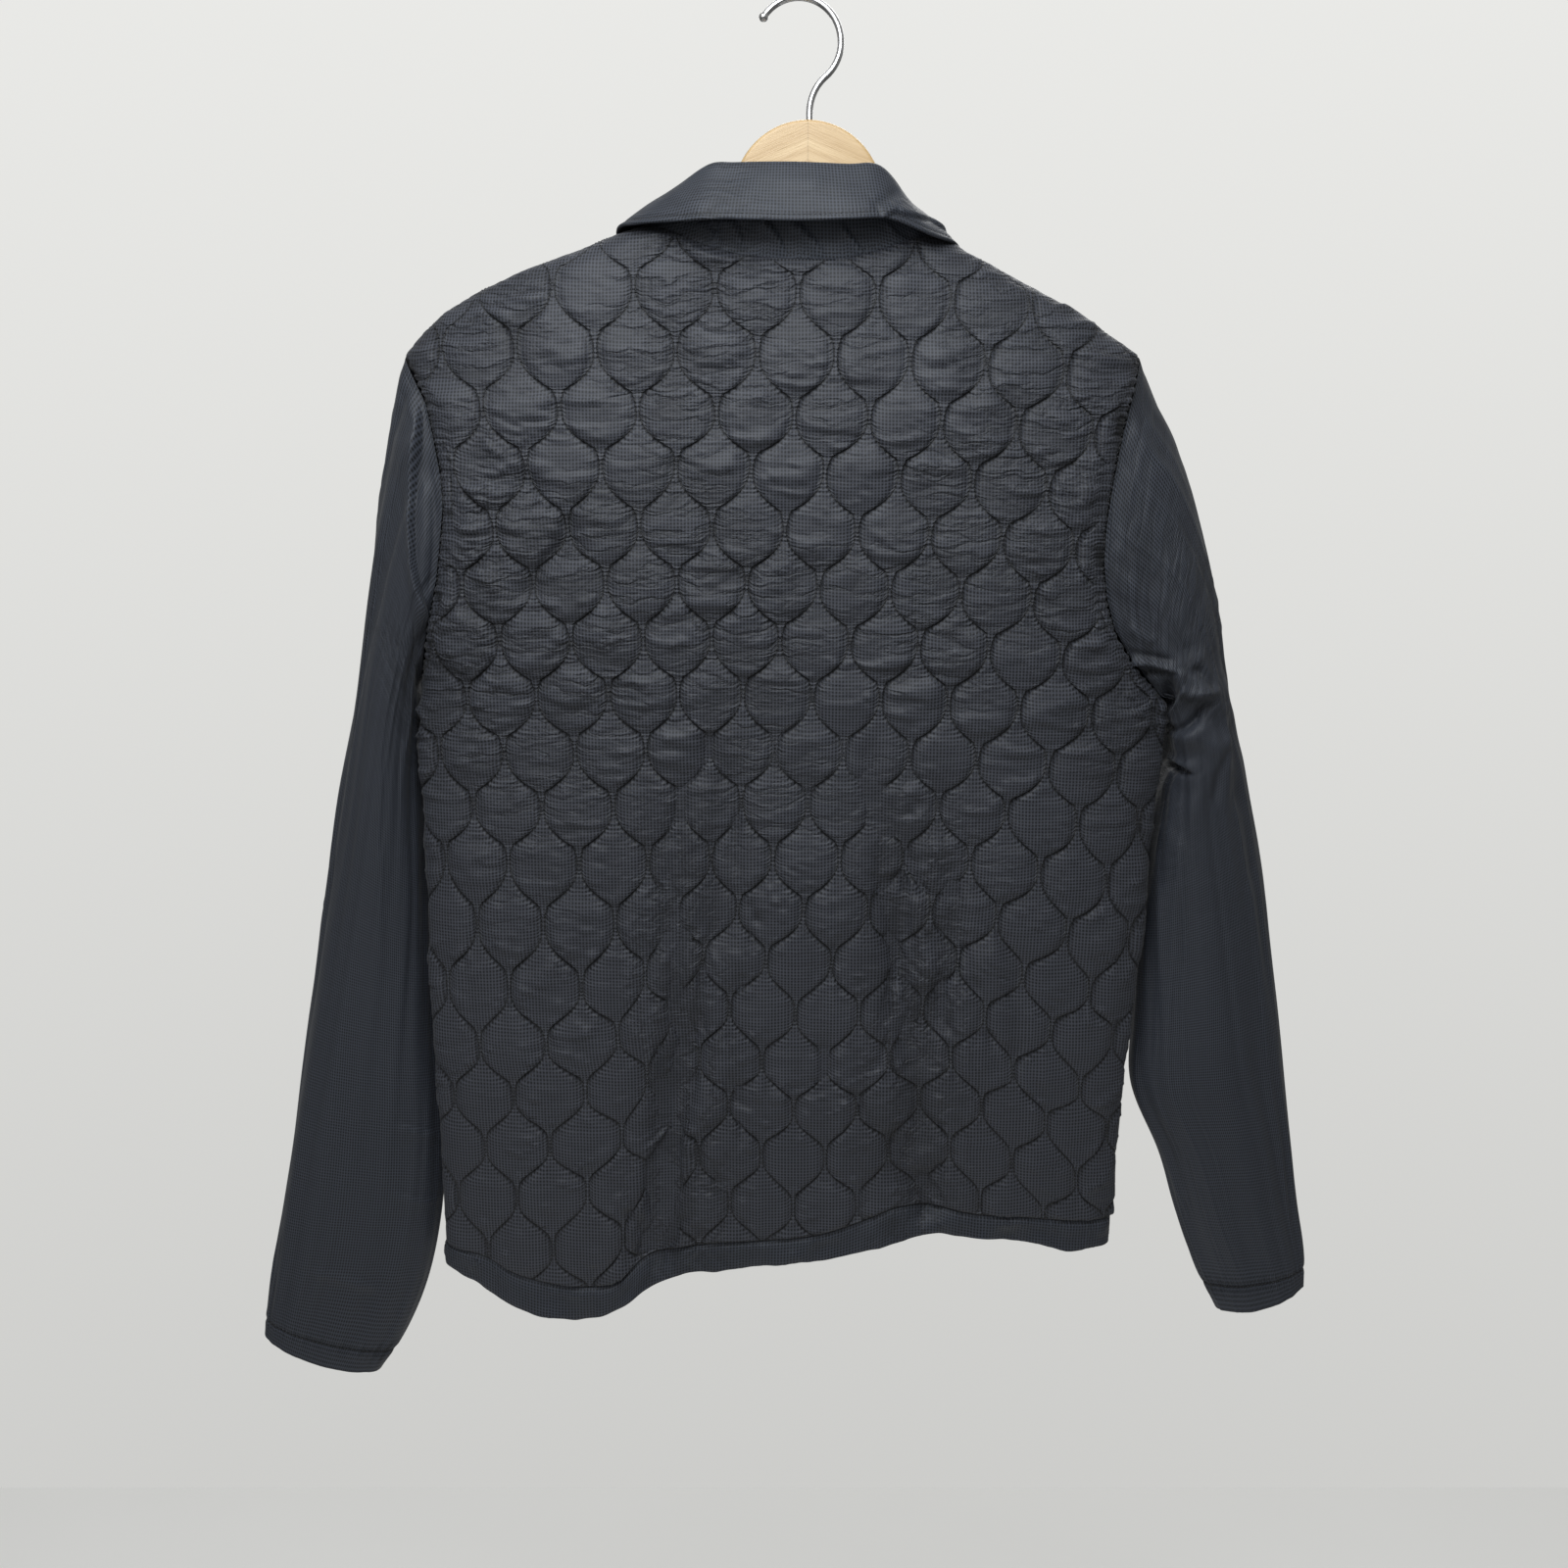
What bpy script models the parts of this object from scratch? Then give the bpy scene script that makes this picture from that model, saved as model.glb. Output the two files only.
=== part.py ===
"""A quilted jacket on a wooden hanger: every cut piece as one closed solid.

X runs to the wearer's right, -Y is the side of the jacket's back, +Z is up.
The origin is the inside top of the hook's bend, where a rail or peg carries it.
Tables are in millimetres; add_solid turns them into metres.
"""
import math

import bmesh
import bpy
import numpy as np

MM = 0.001

# ---- Cloth -------------------------------------------------------------
SEAM_GAP = 0.3          # between two pieces that are sewn together
QUILT_WALL = 1.2        # quilted cloth pressed flat at a stitch line
QUILT_LOFT = 2.6        # how far a full cell stands above the stitch lines
SLEEVE_WALL = 1.6
BAND_WALL = 2.2
BAND_LEVELS = (0.0, 0.5, 1.0)
COLLAR_WALL = 2.0
SNAP_IN = 4.0           # a point nearer than this to an edge moves onto it
HEM_WINDOW = 20.0       # the inner wall ends above the hem's highest point this near

# ---- Body outline: the side of neck point down to the hem ---------------
RIDGE_LEFT = (          # x, z along the left shoulder seam, neck to tip
    (-94, -129), (-111, -134), (-136, -144), (-167, -155),
    (-194, -167), (-213, -178), (-226, -190), (-237, -203))
RIDGE_RIGHT = (
    (84, -135), (93, -138), (102, -144), (124, -155),
    (147, -167), (169, -178), (185, -190), (206, -204))
SIDE_LEFT = (           # x, z down the left armhole and side seam
    (-222, -231), (-217, -253), (-213, -275), (-212, -295), (-215, -320),
    (-218, -340), (-225, -366), (-233, -398), (-236, -437), (-234, -533),
    (-235, -614), (-232, -700), (-231, -768), (-232, -800))
SIDE_RIGHT = (
    (199, -228), (193, -250), (188, -275), (184, -302), (183, -327),
    (186, -351), (192, -370), (202, -386), (214, -400), (230, -413),
    (228, -445), (222, -500), (220, -550), (212, -636), (208, -700),
    (206, -764), (206, -800))
ARMHOLE_LEFT = (-203, -398)     # z of shoulder tip and underarm
ARMHOLE_RIGHT = (-204, -413)
ARMHOLE_DEPTH = 25.0            # half the armhole's width, front to back

BACK_NECK = (           # x, z of the seam under the collar
    (-94, -129), (-76, -134), (-57, -142), (-41, -147), (-20, -150), (5, -151),
    (30, -150), (52, -144), (72, -137.5), (84, -135))
FRONT_NECK = (
    (-94, -129), (-86, -146), (-70, -170), (-45, -194), (-8, -212),
    (30, -197), (58, -173), (75, -150), (84, -135))

BACK_DEPTH = (          # z, how far the cloth stands off the middle plane
    (-129, 25), (-151, 28), (-200, 33), (-280, 37), (-400, 37), (-600, 34), (-820, 30))
FRONT_DEPTH = (
    (-129, 23), (-212, 31), (-280, 36), (-400, 37), (-600, 35), (-820, 31))
SECTION_POWER = 3.0     # 2 is an ellipse, higher is boxier

BACK_HEM = (            # x, z of the stitch line, z of the lower edge
    (-233, -768, -784), (-215, -770, -790), (-203, -772, -797), (-184, -782, -806),
    (-161, -788, -813), (-137, -790, -813), (-116, -786, -806), (-100, -772, -794),
    (-83, -765, -785), (-68, -761, -781), (-19, -757, -776), (15, -753, -772),
    (46, -742, -764), (63, -735, -759), (87, -735, -754), (113, -740, -757),
    (151, -744, -763), (180, -748, -770), (207, -750, -768))
FRONT_HEM = (
    (-233, -768, -784), (-150, -770, -790), (-60, -760, -780), (40, -747, -768),
    (130, -745, -765), (207, -750, -768))

NECK_CORNER_Z = -100.0  # any height above the neck points
HEM_CORNER_Z = -768.0

FOLDS = (               # soft troughs in the back: top x z, bottom x z, depth, half width
    (-62, -590, -96, -790, 7.0, 13.0),
    (56, -505, 78, -690, 5.0, 12.0),
    (100, -540, 84, -640, 3.5, 11.0),
    (60, -680, 88, -742, 5.0, 12.0),
    (-40, -430, -52, -560, 3.0, 12.0),
    (-150, -290, -196, -262, 3.0, 11.0),
    (-128, -300, -168, -345, 3.0, 11.0))

# ---- Quilting: onion-shaped cells between mirrored waves ---------------
ROW_LEFT_X = -150.0
ROW_RIGHT_X = 170.0
FIRST_ROW = -1
QUILT_ROWS = (          # z at ROW_LEFT_X, z at ROW_RIGHT_X, width of a cell
    (-133, -143, 48.0), (-166, -178, 47.4), (-200, -212, 46.4), (-235, -246, 45.0),
    (-267, -276, 44.1), (-302, -310, 43.2), (-338, -344, 42.8), (-372, -380, 42.3),
    (-404, -414, 42.0), (-440, -457, 41.7), (-469, -485, 40.8), (-504, -525, 40.6),
    (-532, -552, 40.2), (-571, -597, 40.5), (-617, -625, 42.0), (-657, -666, 41.8),
    (-694, -698, 41.3), (-727, -731, 40.8), (-761, -763, 41.0), (-796, -798, 41.0))
QUILT_ORIGIN_X = -51.0  # a cell's neck stands here in every second row
WAVE_REACH = 0.43       # of a strip; 0.5 would close the necks
NECK_LENGTH = 0.4       # straight part of a wave, of the row spacing
ROWS_PER_CELL = 3

# ---- Front closing ------------------------------------------------------
CENTRE_X = -8.0
LAP_HALF = 13.0         # the two fronts overlap by twice this
LAP_STEP = 3.0          # the upper front stands this far off the lower one
SNAP_LEVELS = (-238, -340, -442, -544, -646, -736)
SNAP_RADIUS = 7.5
SNAP_HEIGHT = 3.2
SNAP_LIFT = 1.0         # over the cloth's highest point below the cap

# ---- Sleeves: rings from the armhole to the cuff ------------------------
SLEEVE_LEFT = (         # outer x z, inner x z, half depth, middle y
    (-245, -232, -238, -403, 29, 1), (-251, -260, -239, -409, 32, 4),
    (-258, -295, -239, -419, 35, 7), (-264, -330, -239, -433, 37, 10),
    (-271, -365, -239, -450, 38, 13), (-278, -402, -239, -472, 37, 15),
    (-287, -448, -238, -500, 36, 16), (-297, -500, -237, -538, 34, 17),
    (-308, -555, -237, -583, 31, 17), (-319, -615, -237, -634, 28, 16),
    (-330, -675, -235, -690, 25, 14), (-340, -732, -237, -744, 21, 12),
    (-350, -788, -246, -794, 17, 10), (-355, -818, -262, -836, 14, 9),
    (-358, -841, -281, -866, 12, 8))
SLEEVE_RIGHT = (
    (216, -228, 236, -421, 29, 1), (229, -250, 240, -427, 32, 4),
    (241, -280, 242, -435, 35, 7), (252, -313, 241, -445, 37, 10),
    (262, -350, 239, -457, 38, 13), (271, -402, 236, -475, 37, 15),
    (284, -450, 231, -501, 36, 16), (295, -500, 227, -537, 34, 17),
    (304, -550, 224, -578, 31, 17), (312, -605, 221, -625, 28, 16),
    (319, -660, 220, -668, 25, 14), (326, -708, 239, -713, 21, 12),
    (332, -752, 253, -758, 17, 10), (338, -785, 266, -792, 14, 9),
    (339, -805, 281, -822, 12, 8))
SLEEVE_POINTS = 22
ARMHOLE_GAP = 0.9
ARMHOLE_WINDOW = 4.0    # the ring clears the panels' edge this far up and down
CUFF_ROUND = 4.0        # how far the middle of the cuff's edge hangs below its ends
ARM_FOLDS = (           # right underarm: x, z, run x, run z, half length, half width, height
    (247, -405, 0.80, -0.60, 26, 8, 5.0),
    (240, -432, 0.92, -0.40, 22, 7, 4.0),
    (258, -440, 0.45, -0.89, 24, 8, 3.5))

# ---- Collar: stations from the left front round the back ----------------
COLLAR = (              # seam x, roll x y z, fall edge x y z
    (-14, -17, 41, -189, -52, 50, -248),
    (-44, -41, 39, -166, -82, 49, -212),
    (-72, -60, 33, -138, -101, 42, -168),
    (-89, -70, 18, -121, -108, 26, -139),
    (-94, -72, -2, -111, -107, -6, -128),
    (-84, -66, -18, -105, -95, -27, -130),
    (-57, -50, -27, -100, -66, -42, -132),
    (-41, -35, -29, -99, -42, -47, -132),
    (-5, -4, -31, -99, -4, -49, -133),
    (30, 27, -30, -100, 30, -48, -132),
    (52, 46, -26, -100, 52, -42, -130),
    (75, 61, -17, -109, 77, -29, -128),
    (84, 67, -2, -116, 95, -6, -134),
    (80, 65, 18, -126, 97, 26, -147),
    (62, 52, 33, -142, 90, 42, -172),
    (34, 30, 39, -168, 70, 49, -214),
    (10, 10, 37, -186, 40, 45, -250))
COLLAR_NECK_POINTS = (4, 12)    # stations at the two shoulder seams
COLLAR_STEPS = 36
STAND_LIFT = 1.6        # keeps the leaning stand's foot clear of the panels
STAND_TOP = 5.5         # the fall's seam lies this far below the roll
ROLL_REACH = 5.0        # the fall turns over within this distance

# ---- Hanger ---------------------------------------------------------------
HANGER_X = 5.5
HANGER_TILT = math.radians(-3.0)
BOARD_THICKNESS = 12.0
BOARD_ROUNDING = 2.4
DOME_RADIUS = 45.0
DOME_TOP_Z = -67.5
ARM_ROOT = (64.0, -134.0)       # reach from the stem and height of the top edge
ARM_LENGTH = 112.0
ARM_SLOPE = 0.42
ARM_BEND = 0.00026              # slope gained for each millimetre of reach
ARM_HEIGHTS = (46.0, 25.0)      # at the root and at the tip
WIRE_RADIUS = 2.0
BEND_RADIUS = 25.0
BEND_END = math.radians(-50.0)
POINT_START = math.radians(152.0)
STEM_X = 6.5
BEAD_GROWTH = 1.4


def smooth(table, at, column=1):
    """Cubic curve through a table's rows, read at the places in `at`."""
    rows = np.array(table, dtype=float)
    rows = rows[np.argsort(rows[:, 0])]
    keys = rows[:, 0]
    values = rows[:, column]
    slopes = np.gradient(values, keys)
    at = np.clip(np.asarray(at, dtype=float), keys[0], keys[-1])
    i = np.clip(np.searchsorted(keys, at) - 1, 0, len(keys) - 2)
    span = keys[i + 1] - keys[i]
    t = (at - keys[i]) / span
    return ((1 + 2 * t) * (1 - t) ** 2 * values[i] + t * (1 - t) ** 2 * span * slopes[i]
            + t * t * (3 - 2 * t) * values[i + 1] - t * t * (1 - t) * span * slopes[i + 1])


def ramp(value):
    """Smooth step from 0 to 1."""
    t = np.clip(value, 0.0, 1.0)
    return t * t * (3 - 2 * t)


def armhole_depth(z, ends):
    """Half width of the oval armhole at height z."""
    middle = (ends[0] + ends[1]) / 2
    reach = (ends[0] - ends[1]) / 2
    return ARMHOLE_DEPTH * np.sqrt(np.clip(1 - ((z - middle) / reach) ** 2, 0, 1))


def edge_line(ridge, side, ends, inset):
    """Outline of one side, z against x and edge depth, moved inward by the wall."""
    points = np.array(ridge + side, dtype=float)
    depth = armhole_depth(points[:, 1], ends)
    turn = np.clip(depth / 10.0, 0, 1) * math.pi / 2
    along = np.gradient(points, axis=0)
    along /= np.linalg.norm(along, axis=1)[:, None]
    inward = np.stack([-along[:, 1], along[:, 0]], axis=1)
    inward *= np.sign(-points[0, 0])
    points = points + inward * (inset * np.cos(turn))[:, None]
    return points[:, 1][::-1], points[:, 0][::-1], (depth - inset * np.sin(turn))[::-1]


class BodyHalf:
    """The back (side -1) or the front (side +1) as depth over the x-z plane."""

    def __init__(self, side, inset=0.0):
        self.side = side
        self.inset = inset
        self.left = edge_line(RIDGE_LEFT, SIDE_LEFT, ARMHOLE_LEFT, inset)
        self.right = edge_line(RIDGE_RIGHT, SIDE_RIGHT, ARMHOLE_RIGHT, inset)
        self.depths = BACK_DEPTH if side < 0 else FRONT_DEPTH
        self.neck_line = BACK_NECK if side < 0 else FRONT_NECK
        self.hem_line = BACK_HEM if side < 0 else FRONT_HEM

    def ends(self, z):
        """x of the left and right outline at height z."""
        left = np.interp(z, self.left[0], self.left[1])
        return left, np.interp(z, self.right[0], self.right[1])

    def depth(self, x, z):
        """Distance of the cloth from the middle plane."""
        left, right = self.ends(z)
        share = np.clip((2 * x - left - right) / (right - left), -1, 1)
        at_left = np.interp(z, self.left[0], self.left[2])
        at_right = np.interp(z, self.right[0], self.right[2])
        edge = at_left + (at_right - at_left) * (share + 1) / 2
        full = smooth(self.depths, z) - self.inset
        crown = (1 - np.abs(share) ** SECTION_POWER) ** (1 / SECTION_POWER)
        out = np.maximum(edge, 0) + (full - np.maximum(edge, 0)) * crown
        if self.side < 0:
            out = out - fold_depth(x, z) * ramp((1 - np.abs(share)) * 8)
        return np.maximum(out, SEAM_GAP / 2)

    def neck(self, x):
        """Height of the neck seam; the inner wall drops where the seam meets the ridge."""
        z = smooth(self.neck_line, x)
        if self.inset:
            z = z - self.inset * np.clip(1 - self.depth(x, z) / 10, 0, 1)
        return z

    def hem(self, x, column=1):
        """Height of the hem's stitch line (1) or of its lower edge (2)."""
        if self.inset and column == 1:
            shifts = np.arange(-2, 3) * HEM_WINDOW / 2
            return np.max([smooth(self.hem_line, x + shift) for shift in shifts], axis=0) + SEAM_GAP
        return smooth(self.hem_line, x, column)


def fold_depth(x, z):
    """Depth of the soft folds: troughs that fade at both ends."""
    total = np.zeros(np.broadcast(x, z).shape)
    for x0, z0, x1, z1, deep, half in FOLDS:
        run = np.array((x1 - x0, z1 - z0), dtype=float)
        length = np.hypot(*run)
        along = ((x - x0) * run[0] + (z - z0) * run[1]) / length ** 2
        across = ((x - x0) * run[1] - (z - z0) * run[0]) / length
        fade = ramp(along / 0.3 + 0.3) * ramp((1 - along) / 0.2 + 0.5)
        total = total + deep * np.exp(-(across / half) ** 2) * fade
    return total


# ---- The quilted panels ---------------------------------------------------
def wave(row):
    """+1 at even rows, -1 at odd ones: straight necks joined by S-curves."""
    part = np.mod(row, 1.0)
    straight = NECK_LENGTH / 2
    step = ramp((part - straight) / (1 - NECK_LENGTH))
    sign = 1 - 2 * np.mod(np.floor(row), 2)
    return sign * (1 - 2 * step)


class Panel:
    """One quilted panel as rows of points that follow the stitch lines."""

    def __init__(self, half, left_x, right_x, quilted, lap=0.0):
        self.half = half
        self.left_x = left_x
        self.right_x = right_x
        self.quilted = quilted
        self.lap = lap

    def row_height(self, row, x):
        """Height of a quilt row, which slopes a little across the body."""
        table = np.array(QUILT_ROWS, dtype=float)
        index = np.arange(len(table)) + FIRST_ROW
        left = np.interp(row, index, table[:, 0])
        right = np.interp(row, index, table[:, 1])
        return left + (right - left) * (x - ROW_LEFT_X) / (ROW_RIGHT_X - ROW_LEFT_X)

    def place(self, x, z, raised):
        """World points: depth, the lap at the centre front and the raised cells."""
        side = self.half.side
        deep = self.half.depth(x, z) + self.lap * ramp((x - CENTRE_X + 70) / 50)
        step = 0.5
        slope = (self.half.depth(x + step, z) - self.half.depth(x - step, z)) / (2 * step)
        slope = np.clip(slope, -6, 6)
        long = np.sqrt(1 + slope ** 2)
        return np.stack([x - raised * slope / long, side * (deep + raised / long), z], axis=-1)

    def span(self, row):
        """The row's two ends, its line's height and its x against length along the cloth."""
        if row in ("neck", "hem"):
            line = self.half.neck if row == "neck" else self.half.hem
            first, last = self.half.ends(NECK_CORNER_Z if row == "neck" else HEM_CORNER_Z)
        else:
            def line(x):
                return self.row_height(row, x)
            first, last = -200.0, 180.0
            for _ in range(12):
                first = self.half.ends(line(first))[0]
                last = self.half.ends(line(last))[1]
        first = max(first, self.left_x)
        last = min(last, self.right_x)
        x = np.linspace(first, last, 241)
        z = line(x)
        deep = self.half.depth(x, z)
        length = np.concatenate([[0], np.cumsum(np.hypot(np.diff(x), np.diff(deep)))])
        length -= np.interp(QUILT_ORIGIN_X, x, length) if first < QUILT_ORIGIN_X < last else (
            length[0] - (first - QUILT_ORIGIN_X))
        return x, length, line

    def grid(self):
        """Points and triangles of the panel's surface, ending exactly on its outline."""
        if self.quilted:
            last_row = FIRST_ROW + len(QUILT_ROWS) - 1
            steps = (last_row - FIRST_ROW) * ROWS_PER_CELL
            rows = [FIRST_ROW + k / ROWS_PER_CELL for k in range(steps + 1)]
            columns = np.arange(-12, 18, 0.5)
        else:
            rows = list(np.arange(FIRST_ROW, FIRST_ROW + len(QUILT_ROWS) - 1, 0.8))
            columns = np.arange(-12, 18, 1.8)
        rows = ["neck"] + rows + ["hem"]
        points = []
        owner = -np.ones((len(rows), len(columns)), dtype=int)
        kind = np.zeros(owner.shape, dtype=int)
        flat = np.zeros(owner.shape + (3,))
        for i, row in enumerate(rows):
            x, length, line = self.span(row)
            number = {"neck": float(FIRST_ROW), "hem": 17.1}.get(row, row)
            pitch = np.interp(number, np.arange(len(QUILT_ROWS)) + FIRST_ROW,
                              [entry[2] for entry in QUILT_ROWS])
            place, raised = self.columns_at(columns, number)
            along = (place - 0.5) * pitch / 2
            kind[i][along < length[0] + SNAP_IN] = 1
            kind[i][along > length[-1] - SNAP_IN] = 2
            along = np.where(kind[i] == 1, length[0], np.where(kind[i] == 2, length[-1], along))
            across = np.interp(along, length, x)
            height = line(across)
            if row == "neck":
                kind[i][kind[i] == 0] = 3
            elif row == "hem":
                kind[i][kind[i] == 0] = 4
            else:
                above = (kind[i] == 0) & (height > self.half.neck(across) - SNAP_IN)
                neck_span = (across > self.neck_ends()[0]) & (across < self.neck_ends()[1])
                kind[i][above & neck_span] = 3
                kind[i][(kind[i] == 0) & (height < self.half.hem(across) + SNAP_IN)] = 4
            height = np.where(kind[i] == 3, self.half.neck(across), height)
            height = np.where(kind[i] == 4, self.half.hem(across), height)
            raised = np.where(kind[i] == 0, raised, 0.0)
            raised = raised * self.relief(across)
            flat[i] = self.place(across, height, raised)
        self.number_points(kind, flat, owner, points)
        return np.array(points), grid_triangles(owner)

    def neck_ends(self):
        """x of the two ends of the neck seam."""
        return self.half.neck_line[0][0], self.half.neck_line[-1][0]

    def columns_at(self, columns, row):
        """Place of each column in strips, and its raised height."""
        if not self.quilted:
            return columns, np.zeros(len(columns))
        whole = np.floor(columns)
        reach = WAVE_REACH * wave(row)
        near = whole + np.where(np.mod(whole, 2) == 0, reach, -reach)
        far = whole + 1 + np.where(np.mod(whole, 2) == 0, -reach, reach)
        middle = columns > whole
        width = (far - near) / (1 + 2 * WAVE_REACH)
        place = np.where(middle, (near + far) / 2, near)
        return place, np.where(middle, QUILT_LOFT * width ** 0.8, 0.0)

    def relief(self, x):
        """Cells fade out where the two fronts lap."""
        if self.half.side < 0:
            return np.ones(len(x))
        return ramp((np.abs(x - CENTRE_X) - LAP_HALF) / 8)

    def number_points(self, kind, flat, owner, points):
        """Gives every grid place its point; places past the outline share its edge point."""
        count = kind.shape[0]

        def add(i, j):
            points.append(flat[i, j])
            return len(points) - 1

        corner = {}
        for i in (0, count - 1):
            for side in (1, 2):
                group = np.flatnonzero(kind[i] == side)
                corner[i, side] = add(i, group[-1] if side == 1 else group[0])
        top_last = {}
        bottom_first = {}
        for j in range(kind.shape[1]):
            tops = [i for i in range(count) if kind[i, j] == 3]
            lows = [i for i in range(count) if kind[i, j] == 4]
            if tops:
                top_last[j] = (tops[-1], add(tops[-1], j))
            if lows:
                bottom_first[j] = (lows[0], add(lows[0], j))
        for i in range(count):
            ends = {}
            for side in (1, 2):
                group = np.flatnonzero(kind[i] == side)
                if not len(group):
                    continue
                j = group[-1] if side == 1 else group[0]
                x, z = flat[i, j, 0], flat[i, j, 2]
                if i in (0, count - 1):
                    ends[side] = corner[i, side]
                elif z < self.half.hem(x) + 2.0:
                    ends[side] = corner[count - 1, side]
                elif z > self.edge_top(side) - 2.0:
                    ends[side] = corner[0, side]
                else:
                    ends[side] = add(i, j)
            for j in range(kind.shape[1]):
                if kind[i, j] in (1, 2):
                    owner[i, j] = ends[kind[i, j]]
                elif kind[i, j] == 3:
                    owner[i, j] = top_last[j][1]
                elif kind[i, j] == 4:
                    owner[i, j] = bottom_first[j][1]
                else:
                    owner[i, j] = add(i, j)
        tops = [entry[1] for entry in top_last.values()] + [corner[0, 1], corner[0, 2]]
        lows = [entry[1] for entry in bottom_first.values()] + [corner[count - 1, 1], corner[count - 1, 2]]
        for j in range(kind.shape[1]):
            on_top = np.flatnonzero(np.isin(owner[:, j], tops))
            owner[:on_top[-1], j] = owner[on_top[-1], j]
            on_hem = np.flatnonzero(np.isin(owner[:, j], lows))
            owner[on_hem[0]:, j] = owner[on_hem[0], j]

    def corners(self):
        """The outline's corners in turn: neck, shoulder tip, underarm and hem on each side."""
        low, high = self.neck_ends()
        right_side = [RIDGE_RIGHT[-1], (SIDE_RIGHT[0][0], ARMHOLE_RIGHT[1])]
        left_side = [(SIDE_LEFT[0][0], ARMHOLE_LEFT[1]), RIDGE_LEFT[-1]]
        spots = [(max(low, self.left_x), None), (min(high, self.right_x), None)]
        spots += right_side if self.right_x > high else []
        for side in (1, 0):
            x = min(self.half.ends(HEM_CORNER_Z)[1], self.right_x) if side else max(
                self.half.ends(HEM_CORNER_Z)[0], self.left_x)
            spots.append((float(x), float(self.half.hem(x))))
        spots += left_side if self.left_x < low else []
        out = []
        for x, z in spots:
            if z is None:
                z = float(self.half.neck(x))
            elif z > HEM_CORNER_Z + 50:
                x = float(self.half.ends(z)[0 if x < 0 else 1])
            out.append(self.place(np.array([x]), np.array([z]), np.zeros(1))[0])
        return out

    def edge_top(self, side):
        """Height of the panel's top corner on one side."""
        x = self.left_x if side == 1 else self.right_x
        low, high = self.neck_ends()
        if low < x < high:
            return float(self.half.neck(x))
        return self.half.neck_line[0 if side == 1 else -1][1]


def grid_triangles(owner):
    """Two triangles a grid cell, without those that have shrunk to a line."""
    a, b = owner[:-1, :-1].ravel(), owner[:-1, 1:].ravel()
    c, d = owner[1:, 1:].ravel(), owner[1:, :-1].ravel()
    faces = np.concatenate([np.stack([a, b, c], 1), np.stack([a, c, d], 1)])
    good = (faces[:, 0] != faces[:, 1]) & (faces[:, 1] != faces[:, 2]) & (faces[:, 0] != faces[:, 2])
    return faces[good]


def rim_loop(points, faces, start):
    """The open edge of a surface as one loop of point numbers, from the one nearest start."""
    seen = {}
    for face in faces:
        for k in range(len(face)):
            a, b = int(face[k]), int(face[(k + 1) % len(face)])
            seen[a, b] = True
    follow = {a: b for a, b in seen if (b, a) not in seen}
    order = sorted(follow, key=lambda k: float(np.linalg.norm(points[k] - start)))
    loop = [order[0]]
    while follow[loop[-1]] != loop[0]:
        loop.append(follow[loop[-1]])
    return loop


def zip_loops(outer_points, outer_loop, inner_points, inner_loop, shift, anchors):
    """Triangles between two loops that run the same way, matched at the anchor points."""
    def cuts(points, loop):
        spots = points[loop]
        marks = [int(np.argmin(np.linalg.norm(spots - anchor, axis=1))) for anchor in anchors]
        return marks

    faces = []
    outer_marks = cuts(outer_points, outer_loop)
    inner_marks = cuts(inner_points, inner_loop)
    for k in range(len(anchors)):
        runs = []
        for points, loop, marks in ((outer_points, outer_loop, outer_marks),
                                    (inner_points, inner_loop, inner_marks)):
            first, last = marks[k], marks[(k + 1) % len(anchors)]
            size = (last - first) % len(loop)
            run = [loop[(first + step) % len(loop)] for step in range(size + 1)]
            spots = points[run]
            length = np.concatenate([[0], np.cumsum(np.linalg.norm(np.diff(spots, axis=0), axis=1))])
            runs.append((run, length / max(length[-1], 1e-9)))
        (out, out_t), (inn, inn_t) = runs
        i = j = 0
        while i < len(out) - 1 or j < len(inn) - 1:
            take_outer = j == len(inn) - 1 or (i < len(out) - 1 and out_t[i + 1] <= inn_t[j + 1])
            if take_outer:
                faces.append((out[i + 1], out[i], inn[j] + shift))
                i += 1
            else:
                faces.append((out[i], inn[j] + shift, inn[j + 1] + shift))
                j += 1
    return faces


# ---- Solids ---------------------------------------------------------------
def material(name, colour, roughness, metallic=0.0):
    """A plain Principled material."""
    made = bpy.data.materials.new(name)
    made.use_nodes = True
    shader = made.node_tree.nodes["Principled BSDF"]
    shader.inputs["Base Color"].default_value = (*colour, 1.0)
    shader.inputs["Roughness"].default_value = roughness
    shader.inputs["Metallic"].default_value = metallic
    return made


def add_solid(name, points, faces, finish):
    """Makes one closed object from points in millimetres."""
    mesh = bpy.data.meshes.new(name)
    mesh.from_pydata([tuple(p) for p in np.asarray(points) * MM], [], [tuple(map(int, f)) for f in faces])
    work = bmesh.new()
    work.from_mesh(mesh)
    bmesh.ops.remove_doubles(work, verts=work.verts, dist=0.00002)
    bmesh.ops.recalc_face_normals(work, faces=work.faces)
    bmesh.ops.triangulate(work, faces=work.faces)
    if work.calc_volume(signed=True) < 0:
        bmesh.ops.reverse_faces(work, faces=work.faces)
    work.to_mesh(mesh)
    work.free()
    mesh.materials.append(finish)
    mesh.shade_smooth()
    mesh.set_sharp_from_angle(angle=math.radians(50))
    made = bpy.data.objects.new(name, mesh)
    COLLECTION.objects.link(made)
    return made


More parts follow.
